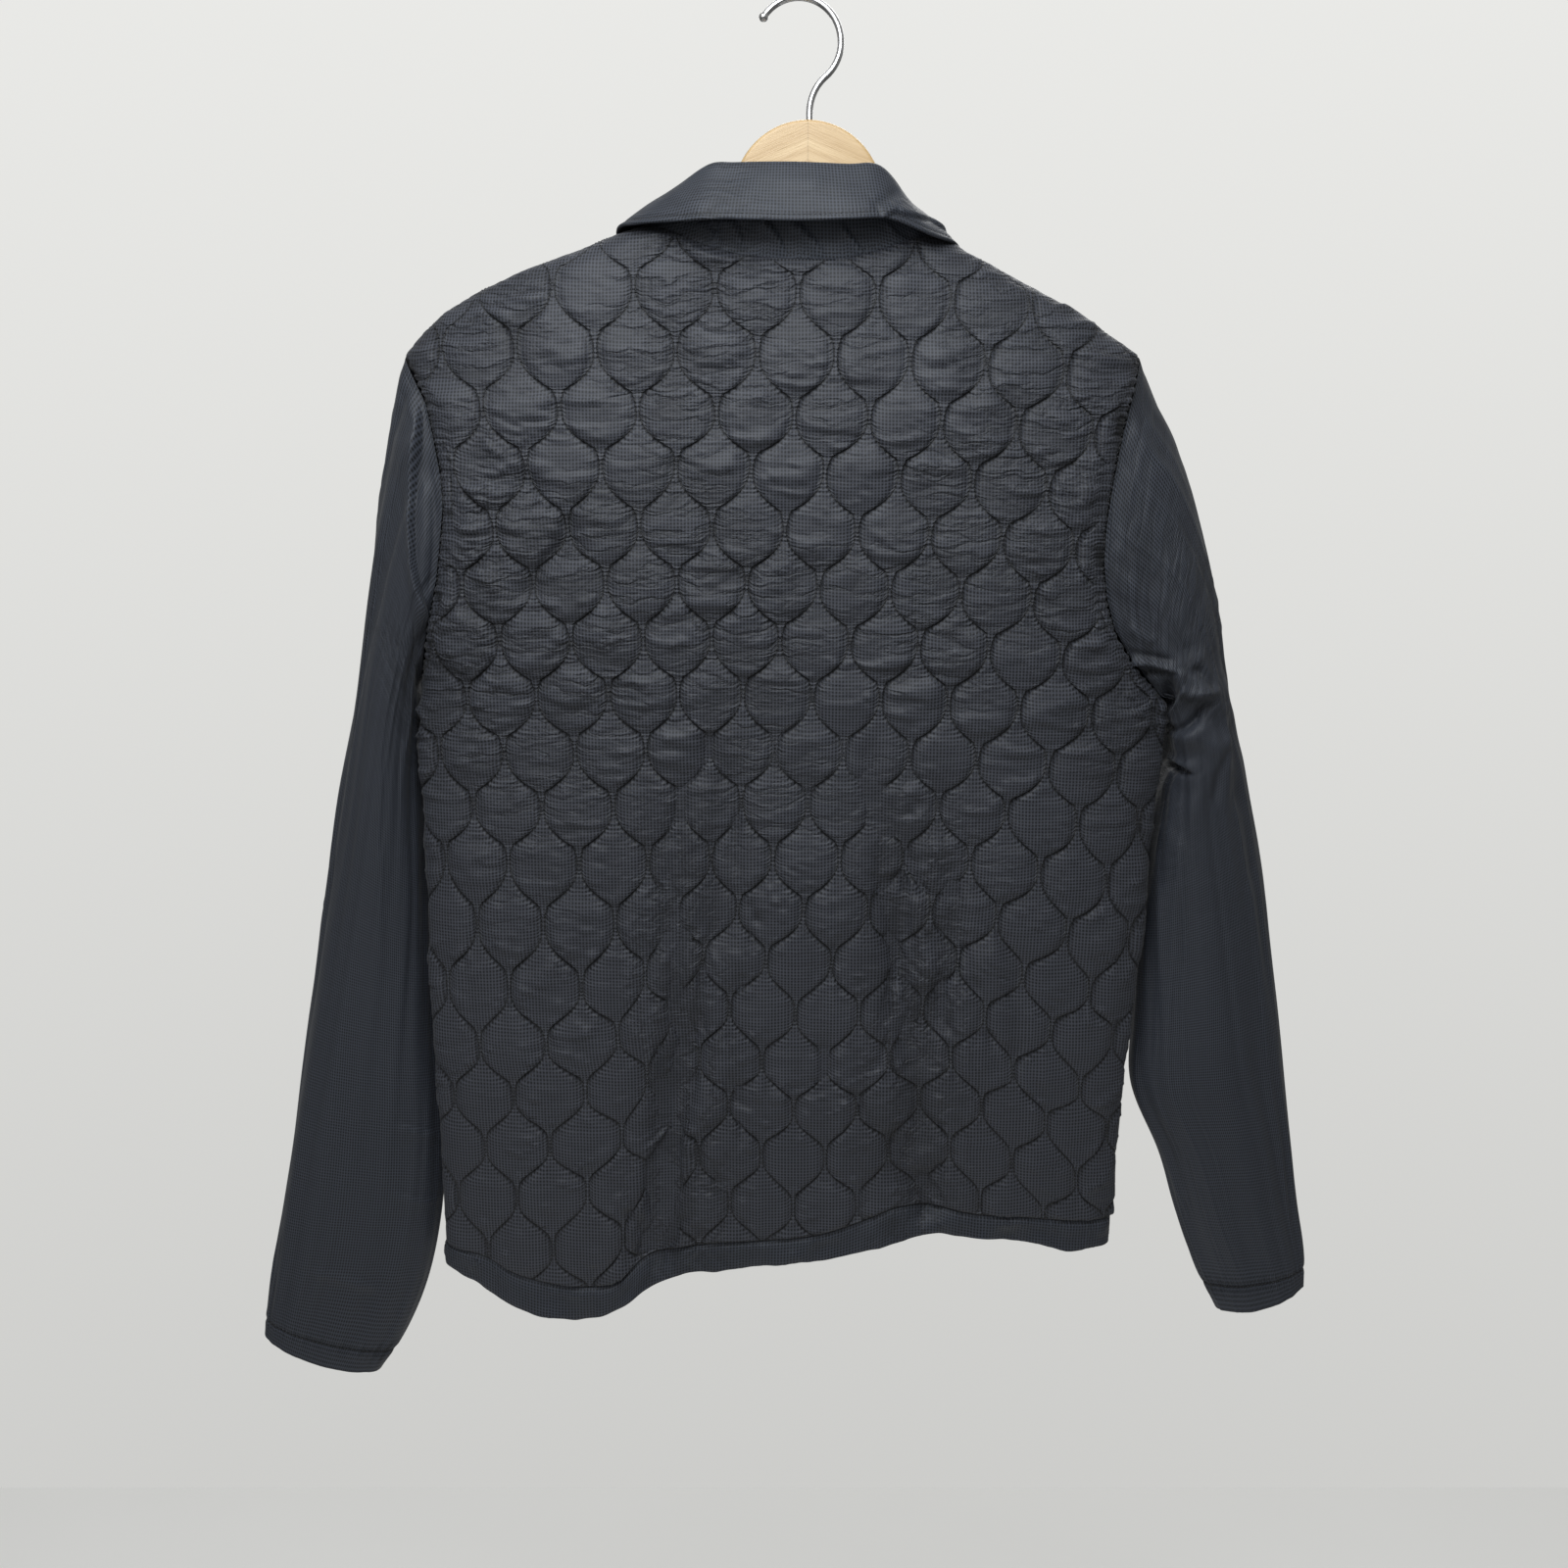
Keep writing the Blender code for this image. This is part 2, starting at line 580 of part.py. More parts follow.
def add_panel(name, side, left_x, right_x, finish, lap=0.0):
    """A quilted wall: raised cells outside, plain inside, joined round the rim."""
    outer = Panel(BodyHalf(side), left_x, right_x, True, lap)
    inner = Panel(BodyHalf(side, QUILT_WALL), left_x, right_x, False, lap)
    out_points, out_faces = outer.grid()
    in_points, in_faces = inner.grid()
    anchors = outer.corners()
    out_loop = rim_loop(out_points, out_faces, anchors[0])
    in_loop = rim_loop(in_points, in_faces, anchors[0])
    second = np.argmin(np.linalg.norm(out_points[out_loop] - anchors[1], axis=1))
    if second > len(out_loop) / 2:
        anchors = anchors[:1] + anchors[:0:-1]
    shift = len(out_points)
    rim = zip_loops(out_points, out_loop, in_points, in_loop, shift, anchors)
    faces = [tuple(f) for f in out_faces] + rim + [tuple(f[::-1] + shift) for f in in_faces]
    add_solid(name, np.concatenate([out_points, in_points]), faces, finish)
    return outer


def wall_between(name, outer, inner, finish, ring=False):
    """A closed wall from two point grids of the same shape; a ring closes on itself."""
    rows, columns = outer.shape[:2]
    number = np.arange(rows * columns).reshape(rows, columns)
    if ring:
        number = np.concatenate([number, number[:, :1]], axis=1)
    shift = rows * columns
    a, b, c, d = number[:-1, :-1], number[:-1, 1:], number[1:, 1:], number[1:, :-1]
    skin = np.stack([a, b, c, d], axis=-1).reshape(-1, 4)
    faces = [tuple(f) for f in skin] + [tuple(f[::-1] + shift) for f in skin]
    edges = [number[0], number[-1][::-1]]
    if not ring:
        edges += [number[:, -1], number[:, 0][::-1]]
    for line in edges:
        faces += [(q, p, p + shift, q + shift) for p, q in zip(line[:-1], line[1:])]
    points = np.concatenate([outer.reshape(-1, 3), inner.reshape(-1, 3)])
    return add_solid(name, points, faces, finish)


def normals(grid, ring=False):
    """Unit normals of a point grid, from its neighbours."""
    padded = np.concatenate([grid[:, -1:], grid, grid[:, :1]], axis=1) if ring else grid
    across = np.gradient(padded, axis=1)
    if ring:
        across = across[:, 1:-1]
    down = np.gradient(grid, axis=0)
    out = np.cross(across, down)
    return out / np.linalg.norm(out, axis=-1)[..., None]


# ---- Hem bands --------------------------------------------------------------
def add_band(name, panel, finish):
    """The plain band below the hem's stitch line, made from the panel's own edge points."""
    half = panel.half
    points = panel.grid()[0]
    on_hem = np.abs(points[:, 2] - half.hem(points[:, 0])) < 0.01
    x = np.unique(np.round(points[on_hem, 0], 4))
    lap = panel.lap * ramp((x - CENTRE_X + 70) / 50)
    top = half.hem(x) - SEAM_GAP
    low = half.hem(x, 2)
    z = top + (low - top) * np.array(BAND_LEVELS)[:, None]
    outer = np.stack([x + 0 * z, half.side * (half.depth(x, z) + lap), z], axis=-1)
    facing = normals(outer)
    facing *= np.sign(np.sum(facing[..., 1] * half.side))
    ends = (0, -1)
    facing[:, ends, 1:] = 0
    facing[:, ends, 0] = np.sign(facing[:, ends, 0])
    if panel.left_x > x[0] - 5:
        facing[:, 0] = (0, half.side, 0)
    if panel.right_x < x[-1] + 5:
        facing[:, -1] = (0, half.side, 0)
    facing[..., 2] = 0
    facing /= np.linalg.norm(facing, axis=-1)[..., None]
    return wall_between(name, outer, outer - facing * BAND_WALL, finish)


# ---- Sleeves ----------------------------------------------------------------
def sleeve_grid(rings, ridge, side_line, ends, sign):
    """Rings of points: the first follows the armhole, the last is the cuff."""
    angle = np.linspace(0, 2 * np.pi, SLEEVE_POINTS, endpoint=False)
    middle = (ends[0] + ends[1]) / 2
    reach = (ends[0] - ends[1]) / 2
    line = np.array(ridge[-1:] + side_line, dtype=float)
    z0 = middle + reach * np.cos(angle)
    x0 = np.interp(z0, line[:, 1][::-1], line[:, 0][::-1])
    window = np.linspace(-ARMHOLE_WINDOW, ARMHOLE_WINDOW, 7)
    near = [np.interp(z0 + shift, line[:, 1][::-1], line[:, 0][::-1]) for shift in window]
    clear = np.max(sign * np.array(near), axis=0) * sign
    armhole = np.stack([clear + sign * ARMHOLE_GAP, ARMHOLE_DEPTH * np.sin(angle), z0], axis=-1)
    chord = ridge[-1][0] + (np.interp(ends[1], line[:, 1][::-1], line[:, 0][::-1])
                            - ridge[-1][0]) * (1 - np.cos(angle)) / 2
    bow = x0 - chord
    grid = [armhole]
    for k, (ox, oz, ix, iz, deep, mid_y) in enumerate(rings):
        share = (1 - np.cos(angle)) / 2
        fade = max(0.0, 1 - (k + 1) / 6) ** 1.5
        x = ox + (ix - ox) * share + bow * fade
        z = oz + (iz - oz) * share
        y = mid_y + deep * np.sin(angle)
        if k == len(rings) - 1:
            z = z - CUFF_ROUND * np.sin(angle) ** 2
        grid.append(np.stack([x, y, z], axis=-1))
    return np.array(grid)


def add_sleeve(name, rings, ridge, side_line, ends, sign, folds, finish):
    """A sleeve as a tube with a wall, open at the armhole and the cuff."""
    outer = sleeve_grid(rings, ridge, side_line, ends, sign)
    facing = normals(outer, ring=True)
    centre = outer.mean(axis=1, keepdims=True)
    if np.sum(facing * (outer - centre)) < 0:
        facing = -facing
    for x, z, run_x, run_z, half_long, half_wide, high in folds:
        along = ((outer[..., 0] - x) * run_x + (outer[..., 2] - z) * run_z) / half_long
        across = ((outer[..., 0] - x) * run_z - (outer[..., 2] - z) * run_x) / half_wide
        amount = high * np.exp(-along ** 2 - across ** 2) * (outer[..., 1] < centre[..., 1])
        amount[:2] = 0
        outer = outer + facing * amount[..., None]
    inward = -facing
    inward[0, :, 0] = 0
    inward[0] /= np.linalg.norm(inward[0], axis=-1)[:, None]
    inner = outer + inward * SLEEVE_WALL
    return wall_between(name, outer, inner, finish, ring=True)


# ---- Collar -----------------------------------------------------------------
def collar_lines():
    """Seam, roll and fall edge as smooth lines, and the outward direction."""
    table = np.array(COLLAR, dtype=float)
    keys = np.arange(len(table), dtype=float)
    at = np.linspace(0, len(table) - 1, COLLAR_STEPS)
    columns = [smooth(np.stack([keys, table[:, k]], axis=1), at) for k in range(7)]
    roll, edge = (np.stack(columns[k:k + 3], axis=-1) for k in (1, 4))
    first, last = COLLAR_NECK_POINTS
    seam_x = np.clip(columns[0], table[first, 0], table[last, 0])
    behind = (at >= first) & (at <= last)
    lines = []
    for side in (-1, 1):
        half = BodyHalf(side)
        height = half.neck(seam_x)
        lines.append(np.stack([seam_x, side * (half.depth(seam_x, height) - QUILT_WALL / 2), height], -1))
    seam = np.where(behind[:, None], lines[0], lines[1])
    lap = LAP_STEP * ramp((seam_x - CENTRE_X + 70) / 50) * (at < first)
    seam[:, 1] += lap
    up = roll - seam
    up /= np.linalg.norm(up, axis=1)[:, None]
    out = edge - roll
    out -= up * np.sum(out * up, axis=1)[:, None]
    out /= np.linalg.norm(out, axis=1)[:, None]
    return seam, roll, edge, up, out


def add_collar(finish):
    """The stand, and the fall that turns over it."""
    seam, roll, edge, up, out = collar_lines()
    low = seam + up * STAND_LIFT + np.array((0.0, 0.0, 2 * SEAM_GAP))
    high = roll - up * (STAND_TOP + 3 * SEAM_GAP)
    middle = (low + high) / 2
    spine = np.array([high, middle, low])
    half = out * COLLAR_WALL / 2
    wall_between("collar_stand", spine + half, spine - half, finish)
    lines = [(-STAND_TOP, 0.0), (-1.2, 0.5), (0.0, 2.8), (-1.6, ROLL_REACH)]
    spine = [roll + up * a + out * b for a, b in lines]
    start = spine[-1]
    for share in (0.33, 0.67, 1.0):
        bulge = 1.2 * math.sin(math.pi * share)
        spine.append(start + (edge - start) * share + out * bulge)
    spine = np.array(spine)
    facing = normals(spine)
    if np.sum(facing[-2] * out) < 0:
        facing = -facing
    half = facing * COLLAR_WALL / 2
    wall_between("collar_fall", spine + half, spine - half, finish)


# ---- Snaps --------------------------------------------------------------------
def add_snap(number, z, finish):
    """A domed snap cap on the upper front."""
    half = BodyHalf(+1)
    reach = np.linspace(-SNAP_RADIUS, SNAP_RADIUS, 5) * 1.5
    under = half.depth(CENTRE_X + reach, z + 0 * reach), half.depth(CENTRE_X + 0 * reach, z + reach)
    y = float(np.max(under)) + LAP_STEP + SNAP_LIFT
    mesh = bpy.data.meshes.new(f"snap_{number}")
    work = bmesh.new()
    bmesh.ops.create_cone(work, cap_ends=True, segments=12, radius1=SNAP_RADIUS * MM,
                          radius2=SNAP_RADIUS * 0.72 * MM, depth=SNAP_HEIGHT * MM)
    work.to_mesh(mesh)
    work.free()
    mesh.materials.append(finish)
    cap = bpy.data.objects.new(f"snap_{number}", mesh)
    cap.location = (CENTRE_X * MM, (y + SNAP_HEIGHT / 2) * MM, z * MM)
    cap.rotation_euler = (math.radians(-90), 0, 0)
    bevel = cap.modifiers.new("rounding", "BEVEL")
    bevel.width = 0.6 * MM
    bevel.segments = 1
    COLLECTION.objects.link(cap)
    return cap


# ---- Hanger ---------------------------------------------------------------------
def board_outline():
    """Half outline of the hanger: dome, neck, arm's top edge, round tip, lower edge."""
    root_x, root_z = ARM_ROOT
    dome_z = DOME_TOP_Z - DOME_RADIUS
    dome = [(DOME_RADIUS * math.sin(a), dome_z + DOME_RADIUS * math.cos(a))
            for a in np.linspace(0, math.radians(72), 9)]
    reach = np.linspace(0, ARM_LENGTH, 9)
    top = [(root_x + d, root_z - ARM_SLOPE * d - ARM_BEND * d * d) for d in reach]
    tip_x, tip_z = top[-1]
    root_high, tip_high = ARM_HEIGHTS
    tip = [(tip_x + tip_high / 2 * math.sin(a), tip_z - tip_high / 2 + tip_high / 2 * math.cos(a))
           for a in np.linspace(0.5, math.pi, 7)]
    share = reach[::-1] / ARM_LENGTH
    low = [(root_x + s * ARM_LENGTH, root_z - ARM_SLOPE * s * ARM_LENGTH
            - ARM_BEND * (s * ARM_LENGTH) ** 2 - root_high * (1 - s) - tip_high * s)
           for s in share[1:]]
    centre = [(0.0, low[-1][1] + 12.0)]
    return dome + top + tip + low + centre


def add_hanger(wood, chrome):
    """The wooden board with its dome, and the wire hook above it."""
    right = board_outline()
    left = [(-x, z) for x, z in right[-2:0:-1]]
    turned = []
    for x, z in right + left:
        dz = z - (DOME_TOP_Z - DOME_RADIUS)
        turned.append((x * math.cos(HANGER_TILT) - dz * math.sin(HANGER_TILT) + HANGER_X,
                       x * math.sin(HANGER_TILT) + dz * math.cos(HANGER_TILT)
                       + DOME_TOP_Z - DOME_RADIUS))
    mesh = bpy.data.meshes.new("hanger_body")
    work = bmesh.new()
    ring = [work.verts.new((x * MM, -BOARD_THICKNESS / 2 * MM, z * MM)) for x, z in turned]
    face = work.faces.new(ring)
    moved = bmesh.ops.extrude_face_region(work, geom=[face])
    fresh = [v for v in moved["geom"] if isinstance(v, bmesh.types.BMVert)]
    bmesh.ops.translate(work, verts=fresh, vec=(0, BOARD_THICKNESS * MM, 0))
    bmesh.ops.recalc_face_normals(work, faces=work.faces)
    work.to_mesh(mesh)
    work.free()
    mesh.materials.append(wood)
    board = bpy.data.objects.new("hanger_body", mesh)
    bevel = board.modifiers.new("rounding", "BEVEL")
    bevel.width = BOARD_ROUNDING * MM
    bevel.segments = 1
    bevel.limit_method = "ANGLE"
    bevel.angle_limit = math.radians(60)
    COLLECTION.objects.link(board)

    centre_z = WIRE_RADIUS - BEND_RADIUS
    angles = np.linspace(POINT_START, BEND_END, 24)
    path = [(BEND_RADIUS * math.cos(a), centre_z + BEND_RADIUS * math.sin(a)) for a in angles]
    end_x, end_z = path[-1]
    second = (end_x - STEM_X) / (1 - math.cos(BEND_END))
    for a in np.linspace(BEND_END, 0, 8)[1:]:
        path.append((STEM_X + second * (1 - math.cos(a)), end_z - second * (math.sin(a) - math.sin(BEND_END))))
    path.append((STEM_X, DOME_TOP_Z + SEAM_GAP + 0.2))
    curve = bpy.data.curves.new("hanger_hook", "CURVE")
    curve.dimensions = "3D"
    curve.bevel_depth = WIRE_RADIUS * MM
    curve.bevel_resolution = 2
    curve.use_fill_caps = True
    spline = curve.splines.new("POLY")
    spline.points.add(len(path) - 1)
    for point, (x, z) in zip(spline.points, path):
        point.co = (x * MM, 0, z * MM, 1)
    for k, growth in enumerate((0.7, BEAD_GROWTH, BEAD_GROWTH)):
        spline.points[k].radius = growth
    curve.materials.append(chrome)
    hook = bpy.data.objects.new("hanger_hook", curve)
    COLLECTION.objects.link(hook)


def build():
    """Builds every piece."""
    quilted = material("quilted_ripstop", (0.045, 0.048, 0.055), 0.7)
    plain = material("plain_ripstop", (0.040, 0.044, 0.052), 0.65)
    wood = material("pale_wood", (0.75, 0.57, 0.36), 0.5)
    chrome = material("chrome_wire", (0.6, 0.6, 0.62), 0.15, 1.0)
    dark_metal = material("dark_snap", (0.05, 0.05, 0.055), 0.35, 0.8)
    far = 1000.0
    back = add_panel("back_panel", -1, -far, far, quilted)
    left = add_panel("front_left", +1, -far, CENTRE_X + LAP_HALF, quilted, LAP_STEP)
    right = add_panel("front_right", +1, CENTRE_X - LAP_HALF, far, quilted)
    add_band("hem_band_back", back, plain)
    add_band("hem_band_front_left", left, plain)
    add_band("hem_band_front_right", right, plain)
    add_sleeve("sleeve_left", SLEEVE_LEFT, RIDGE_LEFT, SIDE_LEFT, ARMHOLE_LEFT, -1, (), plain)
    add_sleeve("sleeve_right", SLEEVE_RIGHT, RIDGE_RIGHT, SIDE_RIGHT, ARMHOLE_RIGHT, 1, ARM_FOLDS, plain)
    add_collar(plain)
    for number, level in enumerate(SNAP_LEVELS, start=1):
        add_snap(number, level, dark_metal)
    add_hanger(wood, chrome)


for old in list(bpy.data.objects):
    bpy.data.objects.remove(old)
COLLECTION = bpy.data.collections.new("quilted_jacket")
bpy.context.scene.collection.children.link(COLLECTION)
build()
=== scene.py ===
"""Dressed model of a quilted jacket that hangs on a wooden hanger.

Tables are in millimetres and meshes are made in metres. X runs to the wearer's right,
-Y is the side of the jacket's back and +Z is up, from the inside top of the hook's bend.
"""
from __future__ import annotations

import logging
import math
from dataclasses import dataclass, field, replace
from enum import Enum

import bpy
import numpy as np
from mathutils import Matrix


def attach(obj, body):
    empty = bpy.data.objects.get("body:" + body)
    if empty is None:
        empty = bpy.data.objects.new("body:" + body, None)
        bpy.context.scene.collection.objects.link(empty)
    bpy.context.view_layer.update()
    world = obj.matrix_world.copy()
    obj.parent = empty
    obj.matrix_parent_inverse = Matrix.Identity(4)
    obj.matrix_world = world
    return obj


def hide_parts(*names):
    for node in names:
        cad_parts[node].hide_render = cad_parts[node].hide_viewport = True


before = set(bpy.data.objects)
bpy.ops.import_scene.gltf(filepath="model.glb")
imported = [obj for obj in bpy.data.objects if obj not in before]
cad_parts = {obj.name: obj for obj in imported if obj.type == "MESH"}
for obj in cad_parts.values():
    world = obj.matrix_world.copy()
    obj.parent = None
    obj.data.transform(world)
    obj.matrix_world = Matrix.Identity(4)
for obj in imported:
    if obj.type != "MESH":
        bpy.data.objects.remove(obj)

Array = np.ndarray
Rows = tuple[tuple[float, ...], ...]
LOG = logging.getLogger("jacket")
Finish = bpy.types.Material
Piece = bpy.types.Object
MM = 0.001
SEAM_GAP = 0.3      # between two pieces that are sewn together
FAR = 99.0          # mark of a point that is far from every stitch line
AT_EDGE = 0.999     # flag above which a point was made by a cut
MARK_REST = {"seam": FAR, "pucker": 0.0}
COLUMNS = ("x", "z", "along", "row", "place", "from_left", "from_right",
           "at_left", "at_right", "at_neck", "at_hem")


class Face(Enum):
    """The two faces of the jacket, with the sign of their y."""

    BACK = -1
    FRONT = 1


class Hand(Enum):
    """The two sleeves, with the sign of their x."""

    LEFT = -1
    RIGHT = 1


# ---- Plain sums
def stacked(*parts: Array | float) -> Array:
    """The parts, broadcast together, as the last axis of one array."""
    return np.stack(np.broadcast_arrays(*parts), axis=-1)


def hermite(t: Array, start: Array, end: Array, leave: Array, arrive: Array) -> Array:
    """Cubic from start to end with those two slopes, as t runs from 0 to 1."""
    return ((1 + 2 * t) * (1 - t) ** 2 * start + t * (1 - t) ** 2 * leave
            + t * t * (3 - 2 * t) * end - t * t * (1 - t) * arrive)


def smooth(table: Rows | Array, at: Array | float, column: int = 1) -> Array:
    """Hermite cubic through a table's rows.

    Args:
        table: rows whose first entry is the key.
        at: keys to read.
        column: which entry is read.

    Returns:
        Its values; the slope at a row is its neighbours'.
    """
    rows = np.array(table, dtype=float)
    rows = rows[np.argsort(rows[:, 0])]
    keys, values = rows[:, 0], rows[:, column]
    slopes = np.gradient(values, keys)
    at = np.clip(np.asarray(at, dtype=float), keys[0], keys[-1])
    i = np.clip(np.searchsorted(keys, at) - 1, 0, len(keys) - 2)
    span = keys[i + 1] - keys[i]
    return hermite((at - keys[i]) / span, values[i], values[i + 1], span * slopes[i], span * slopes[i + 1])


def through(knots: Array, at: Array) -> Array:
    """Hermite cubic through knots.

    Args:
        knots: their first axis counts them.
        at: places on that axis, as fractional numbers.

    Returns:
        One entry for each place.
    """
    slopes = np.gradient(knots, axis=0)
    i = np.clip(np.floor(at).astype(int), 0, len(knots) - 2)
    t = (at - i).reshape((-1,) + (1,) * (knots.ndim - 1))
    return hermite(t, knots[i], knots[i + 1], slopes[i], slopes[i + 1])


def ramp(value: Array | float) -> Array:
    """Smooth step 3t^2 - 2t^3 from 0 to 1."""
    t = np.clip(value, 0.0, 1.0)
    return t * t * (3 - 2 * t)


def crowded(count: int) -> Array:
    """Shares from 0 to 1 that crowd towards both ends, as -cos does."""
    return (1 - np.cos(np.linspace(0, math.pi, count))) / 2


def bell(value: Array, width: float) -> Array:
    """exp(-(value / width)^2)."""
    return np.exp(-(value / width) ** 2)


def unit(vectors: Array) -> Array:
    """The vectors, each divided by its length."""
    return vectors / np.maximum(np.linalg.norm(vectors, axis=-1, keepdims=True), 1e-12)


def lengths(line: Array) -> Array:
    """Length run along the first axis of an array of points, up to each of them."""
    run = np.cumsum(np.linalg.norm(np.diff(line, axis=0), axis=-1), axis=0)
    return np.concatenate([np.zeros((1,) + run.shape[1:]), run])


def noise(u: Array, v: Array, seed: int, octaves: int = 2) -> Array:
    """Smooth random field between about -1 and 1.

    Args:
        u: first coordinate, one lattice step a unit.
        v: second coordinate.
        seed: start of the random heights.
        octaves: each halves the step and the height, and turns the lattice.

    Returns:
        Lattice heights joined by 6t^5 - 15t^4 + 10t^3.
    """
    size = 128
    total = np.zeros(np.broadcast(u, v).shape)
    for octave in range(octaves):
        lattice = np.random.default_rng(seed * 17 + octave).uniform(-1, 1, (size, size))
        scale, turn = 2.0 ** octave, 0.35 * octave
        a = scale * (u * math.cos(turn) - v * math.sin(turn))
        b = scale * (u * math.sin(turn) + v * math.cos(turn))
        i, j = np.floor(a).astype(int), np.floor(b).astype(int)
        s, t = (part ** 3 * (part * (6 * part - 15) + 10) for part in (a - i, b - j))
        i, j, next_i, next_j = i % size, j % size, (i + 1) % size, (j + 1) % size
        low = lattice[i, j] * (1 - s) + lattice[next_i, j] * s
        high = lattice[i, next_j] * (1 - s) + lattice[next_i, next_j] * s
        total = total + (low * (1 - t) + high * t) / scale
    return total


def creases(u: Array, v: Array, seed: int, width: float = 0.45, edge: float = 0.16) -> Array:
    """Folds with one sharp side, along the zero line of a random field.

    Args:
        u: first coordinate; folds run along the one that is scaled down most.
        v: second coordinate.
        seed: start of the field.
        width: how far a fold reaches back, in units of the field.
        edge: the same for its sharp side.

    Returns:
        Heights from 0 to 1: a steep ramp, then exp(-field / width), faded in patches.
    """
    value = noise(u, v, seed, 2)
    rise = ramp((value + edge) / edge) * np.exp(-np.maximum(value, 0) / width)
    return rise * ramp(noise(u * 0.7 + 9.3, v * 0.55, seed + 31, 1) * 1.4 + 0.45)


def leaning(u: Array, v: Array, seed: int, lean: float = 0.55) -> Array:
    """Wrinkles that hang over: gentle above and steep below.

    Args:
        u: first coordinate; wrinkles run along it.
        v: second coordinate, upwards.
        seed: start of the field.
        lean: how far a crest is pulled down.

    Returns:
        Heights from 0 to 1: a field read above its place by its own height, faded in patches.
    """
    first = noise(u, v, seed, 1)
    field = noise(u, v + lean * np.maximum(first, 0), seed, 2)
    patch = ramp(0.75 + 0.9 * noise(u * 0.7 + 5.1, v * 0.3, seed + 31, 1))
    return ramp(field * 1.8) * patch


def read_rows(keys: Array, values: Array, at: Array) -> Array:
    """Reads one table for each row, in straight lines.

    Args:
        keys: rows × samples, increasing.
        values: rows × samples.
        at: rows × places.

    Returns:
        rows × places; a table goes on beyond its ends with its last slope.
    """
    index = np.clip((keys[:, None, :] <= at[:, :, None]).sum(axis=2) - 1, 0, keys.shape[1] - 2)
    low_key, high_key = (np.take_along_axis(keys, index + k, 1) for k in (0, 1))
    low, high = (np.take_along_axis(values, index + k, 1) for k in (0, 1))
    return low + (high - low) * (at - low_key) / (high_key - low_key)


def beside(x: Array, z: Array, line: list[float]) -> tuple[Array, Array, float]:
    """Share run along a line x0, z0, x1, z1, distance across it, and its length."""
    x0, z0, x1, z1 = line
    run_x, run_z = x1 - x0, z1 - z0
    length = math.hypot(run_x, run_z)
    return (((x - x0) * run_x + (z - z0) * run_z) / length ** 2,
            ((x - x0) * run_z - (z - z0) * run_x) / length, length)


def strokes(x: Array, z: Array, table: Rows, steep: float = 1.8) -> Array:
    """Height of listed folds.

    Args:
        x: places across.
        z: places up.
        table: x0, z0, x1, z1 of each fold's line, its height (negative for a trough), its
            half width, and a 1 if it has one sharp side.
        steep: width of a sharp side.

    Returns:
        The sum of the folds: a bell, or a steep edge that falls as exp(-a / w), across a
        line that fades towards its ends and bows a little.
    """
    total = np.zeros(np.broadcast(x, z).shape)
    for *line, high, half, sharp in ((*row, 0)[:7] for row in table):
        along, across, length = beside(x, z, line)
        bow = math.sin(line[0] * 12.9 + line[1] * 4.1) / 4
        across = across + bow * length * (along - along ** 2)
        fade = ramp((along + 0.15) / 0.35) * ramp((1.15 - along) / 0.35)
        edge = ramp((across + steep) / steep) * np.exp(-np.maximum(across, 0) / half)
        total = total + high * fade * (edge if sharp else bell(across, half))
    return total


# ---- Meshes
@dataclass
class Shell:
    """Points and triangles of one piece, with its cloth coordinates.

    Attributes:
        points: n × 3, in millimetres.
        faces: m × 3 point numbers.
        uv: cloth coordinates in millimetres, one for each uv number.
        uv_faces: uv numbers of the faces, where they differ from the point numbers.
        marks: named values for each point, for the finishes.
    """

    points: Array
    faces: Array
    uv: Array | None = None
    uv_faces: Array | None = None
    marks: dict[str, Array] = field(default_factory=dict)

    def volume(self) -> float:
        """Signed volume: the sum of the corners' triple products over 6."""
        a, b, c = (self.points[self.faces[:, k]] for k in range(3))
        return float(np.einsum("ij,ij->", a, np.cross(b, c))) / 6

    def make(self, name: str, finish: Finish, of_node: bool = True) -> Piece:
        """Makes the object, smooth, at the origin, with its faces outwards.

        Args:
            name: of the CAD node that it stands for, or of the sewing.
            finish: its material, which holds the record's slot.
            of_node: whether it stands for a node.

        Returns:
            The new object, which rides on the root body.
        """
        turn = -1 if self.volume() < 0 else 1
        faces = self.faces[:, ::turn]
        look = f"{name}_look" if of_node else name
        mesh = bpy.data.meshes.new(look)
        mesh.from_pydata((self.points * MM).tolist(), [], faces.tolist())
        if self.uv is not None:
            numbers = faces if self.uv_faces is None else self.uv_faces[:, ::turn]
            layer = mesh.uv_layers.new(name="cloth")
            layer.data.foreach_set("uv", (self.uv[numbers.ravel()] * MM).astype(np.float32).ravel())
        for mark, rest in MARK_REST.items():
            layer = mesh.attributes.new(mark, "FLOAT", "POINT")
            values = self.marks.get(mark, np.full(len(self.points), rest))
            layer.data.foreach_set("value", np.asarray(values, dtype=np.float32))
        mesh.materials.append(finish)
        mesh.shade_smooth()
        made = bpy.data.objects.new(look, mesh)
        bpy.context.scene.collection.objects.link(made)
        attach(made, "root")
        if of_node:
            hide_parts(name)
        LOG.info("%s: %d triangles", look, len(faces))
        return made


def grid_faces(rows: int, columns: int, ring: bool = False) -> Array:
    """Triangles of a rows × columns grid of points, two a cell; a ring closes on itself."""
    number = np.arange(rows * columns).reshape(rows, columns)
    if ring:
        number = np.concatenate([number, number[:, :1]], axis=1)
    a, b, c, d = (corner.ravel() for corner in
                  (number[:-1, :-1], number[:-1, 1:], number[1:, 1:], number[1:, :-1]))
    return np.concatenate([stacked(a, d, c), stacked(a, c, b)])


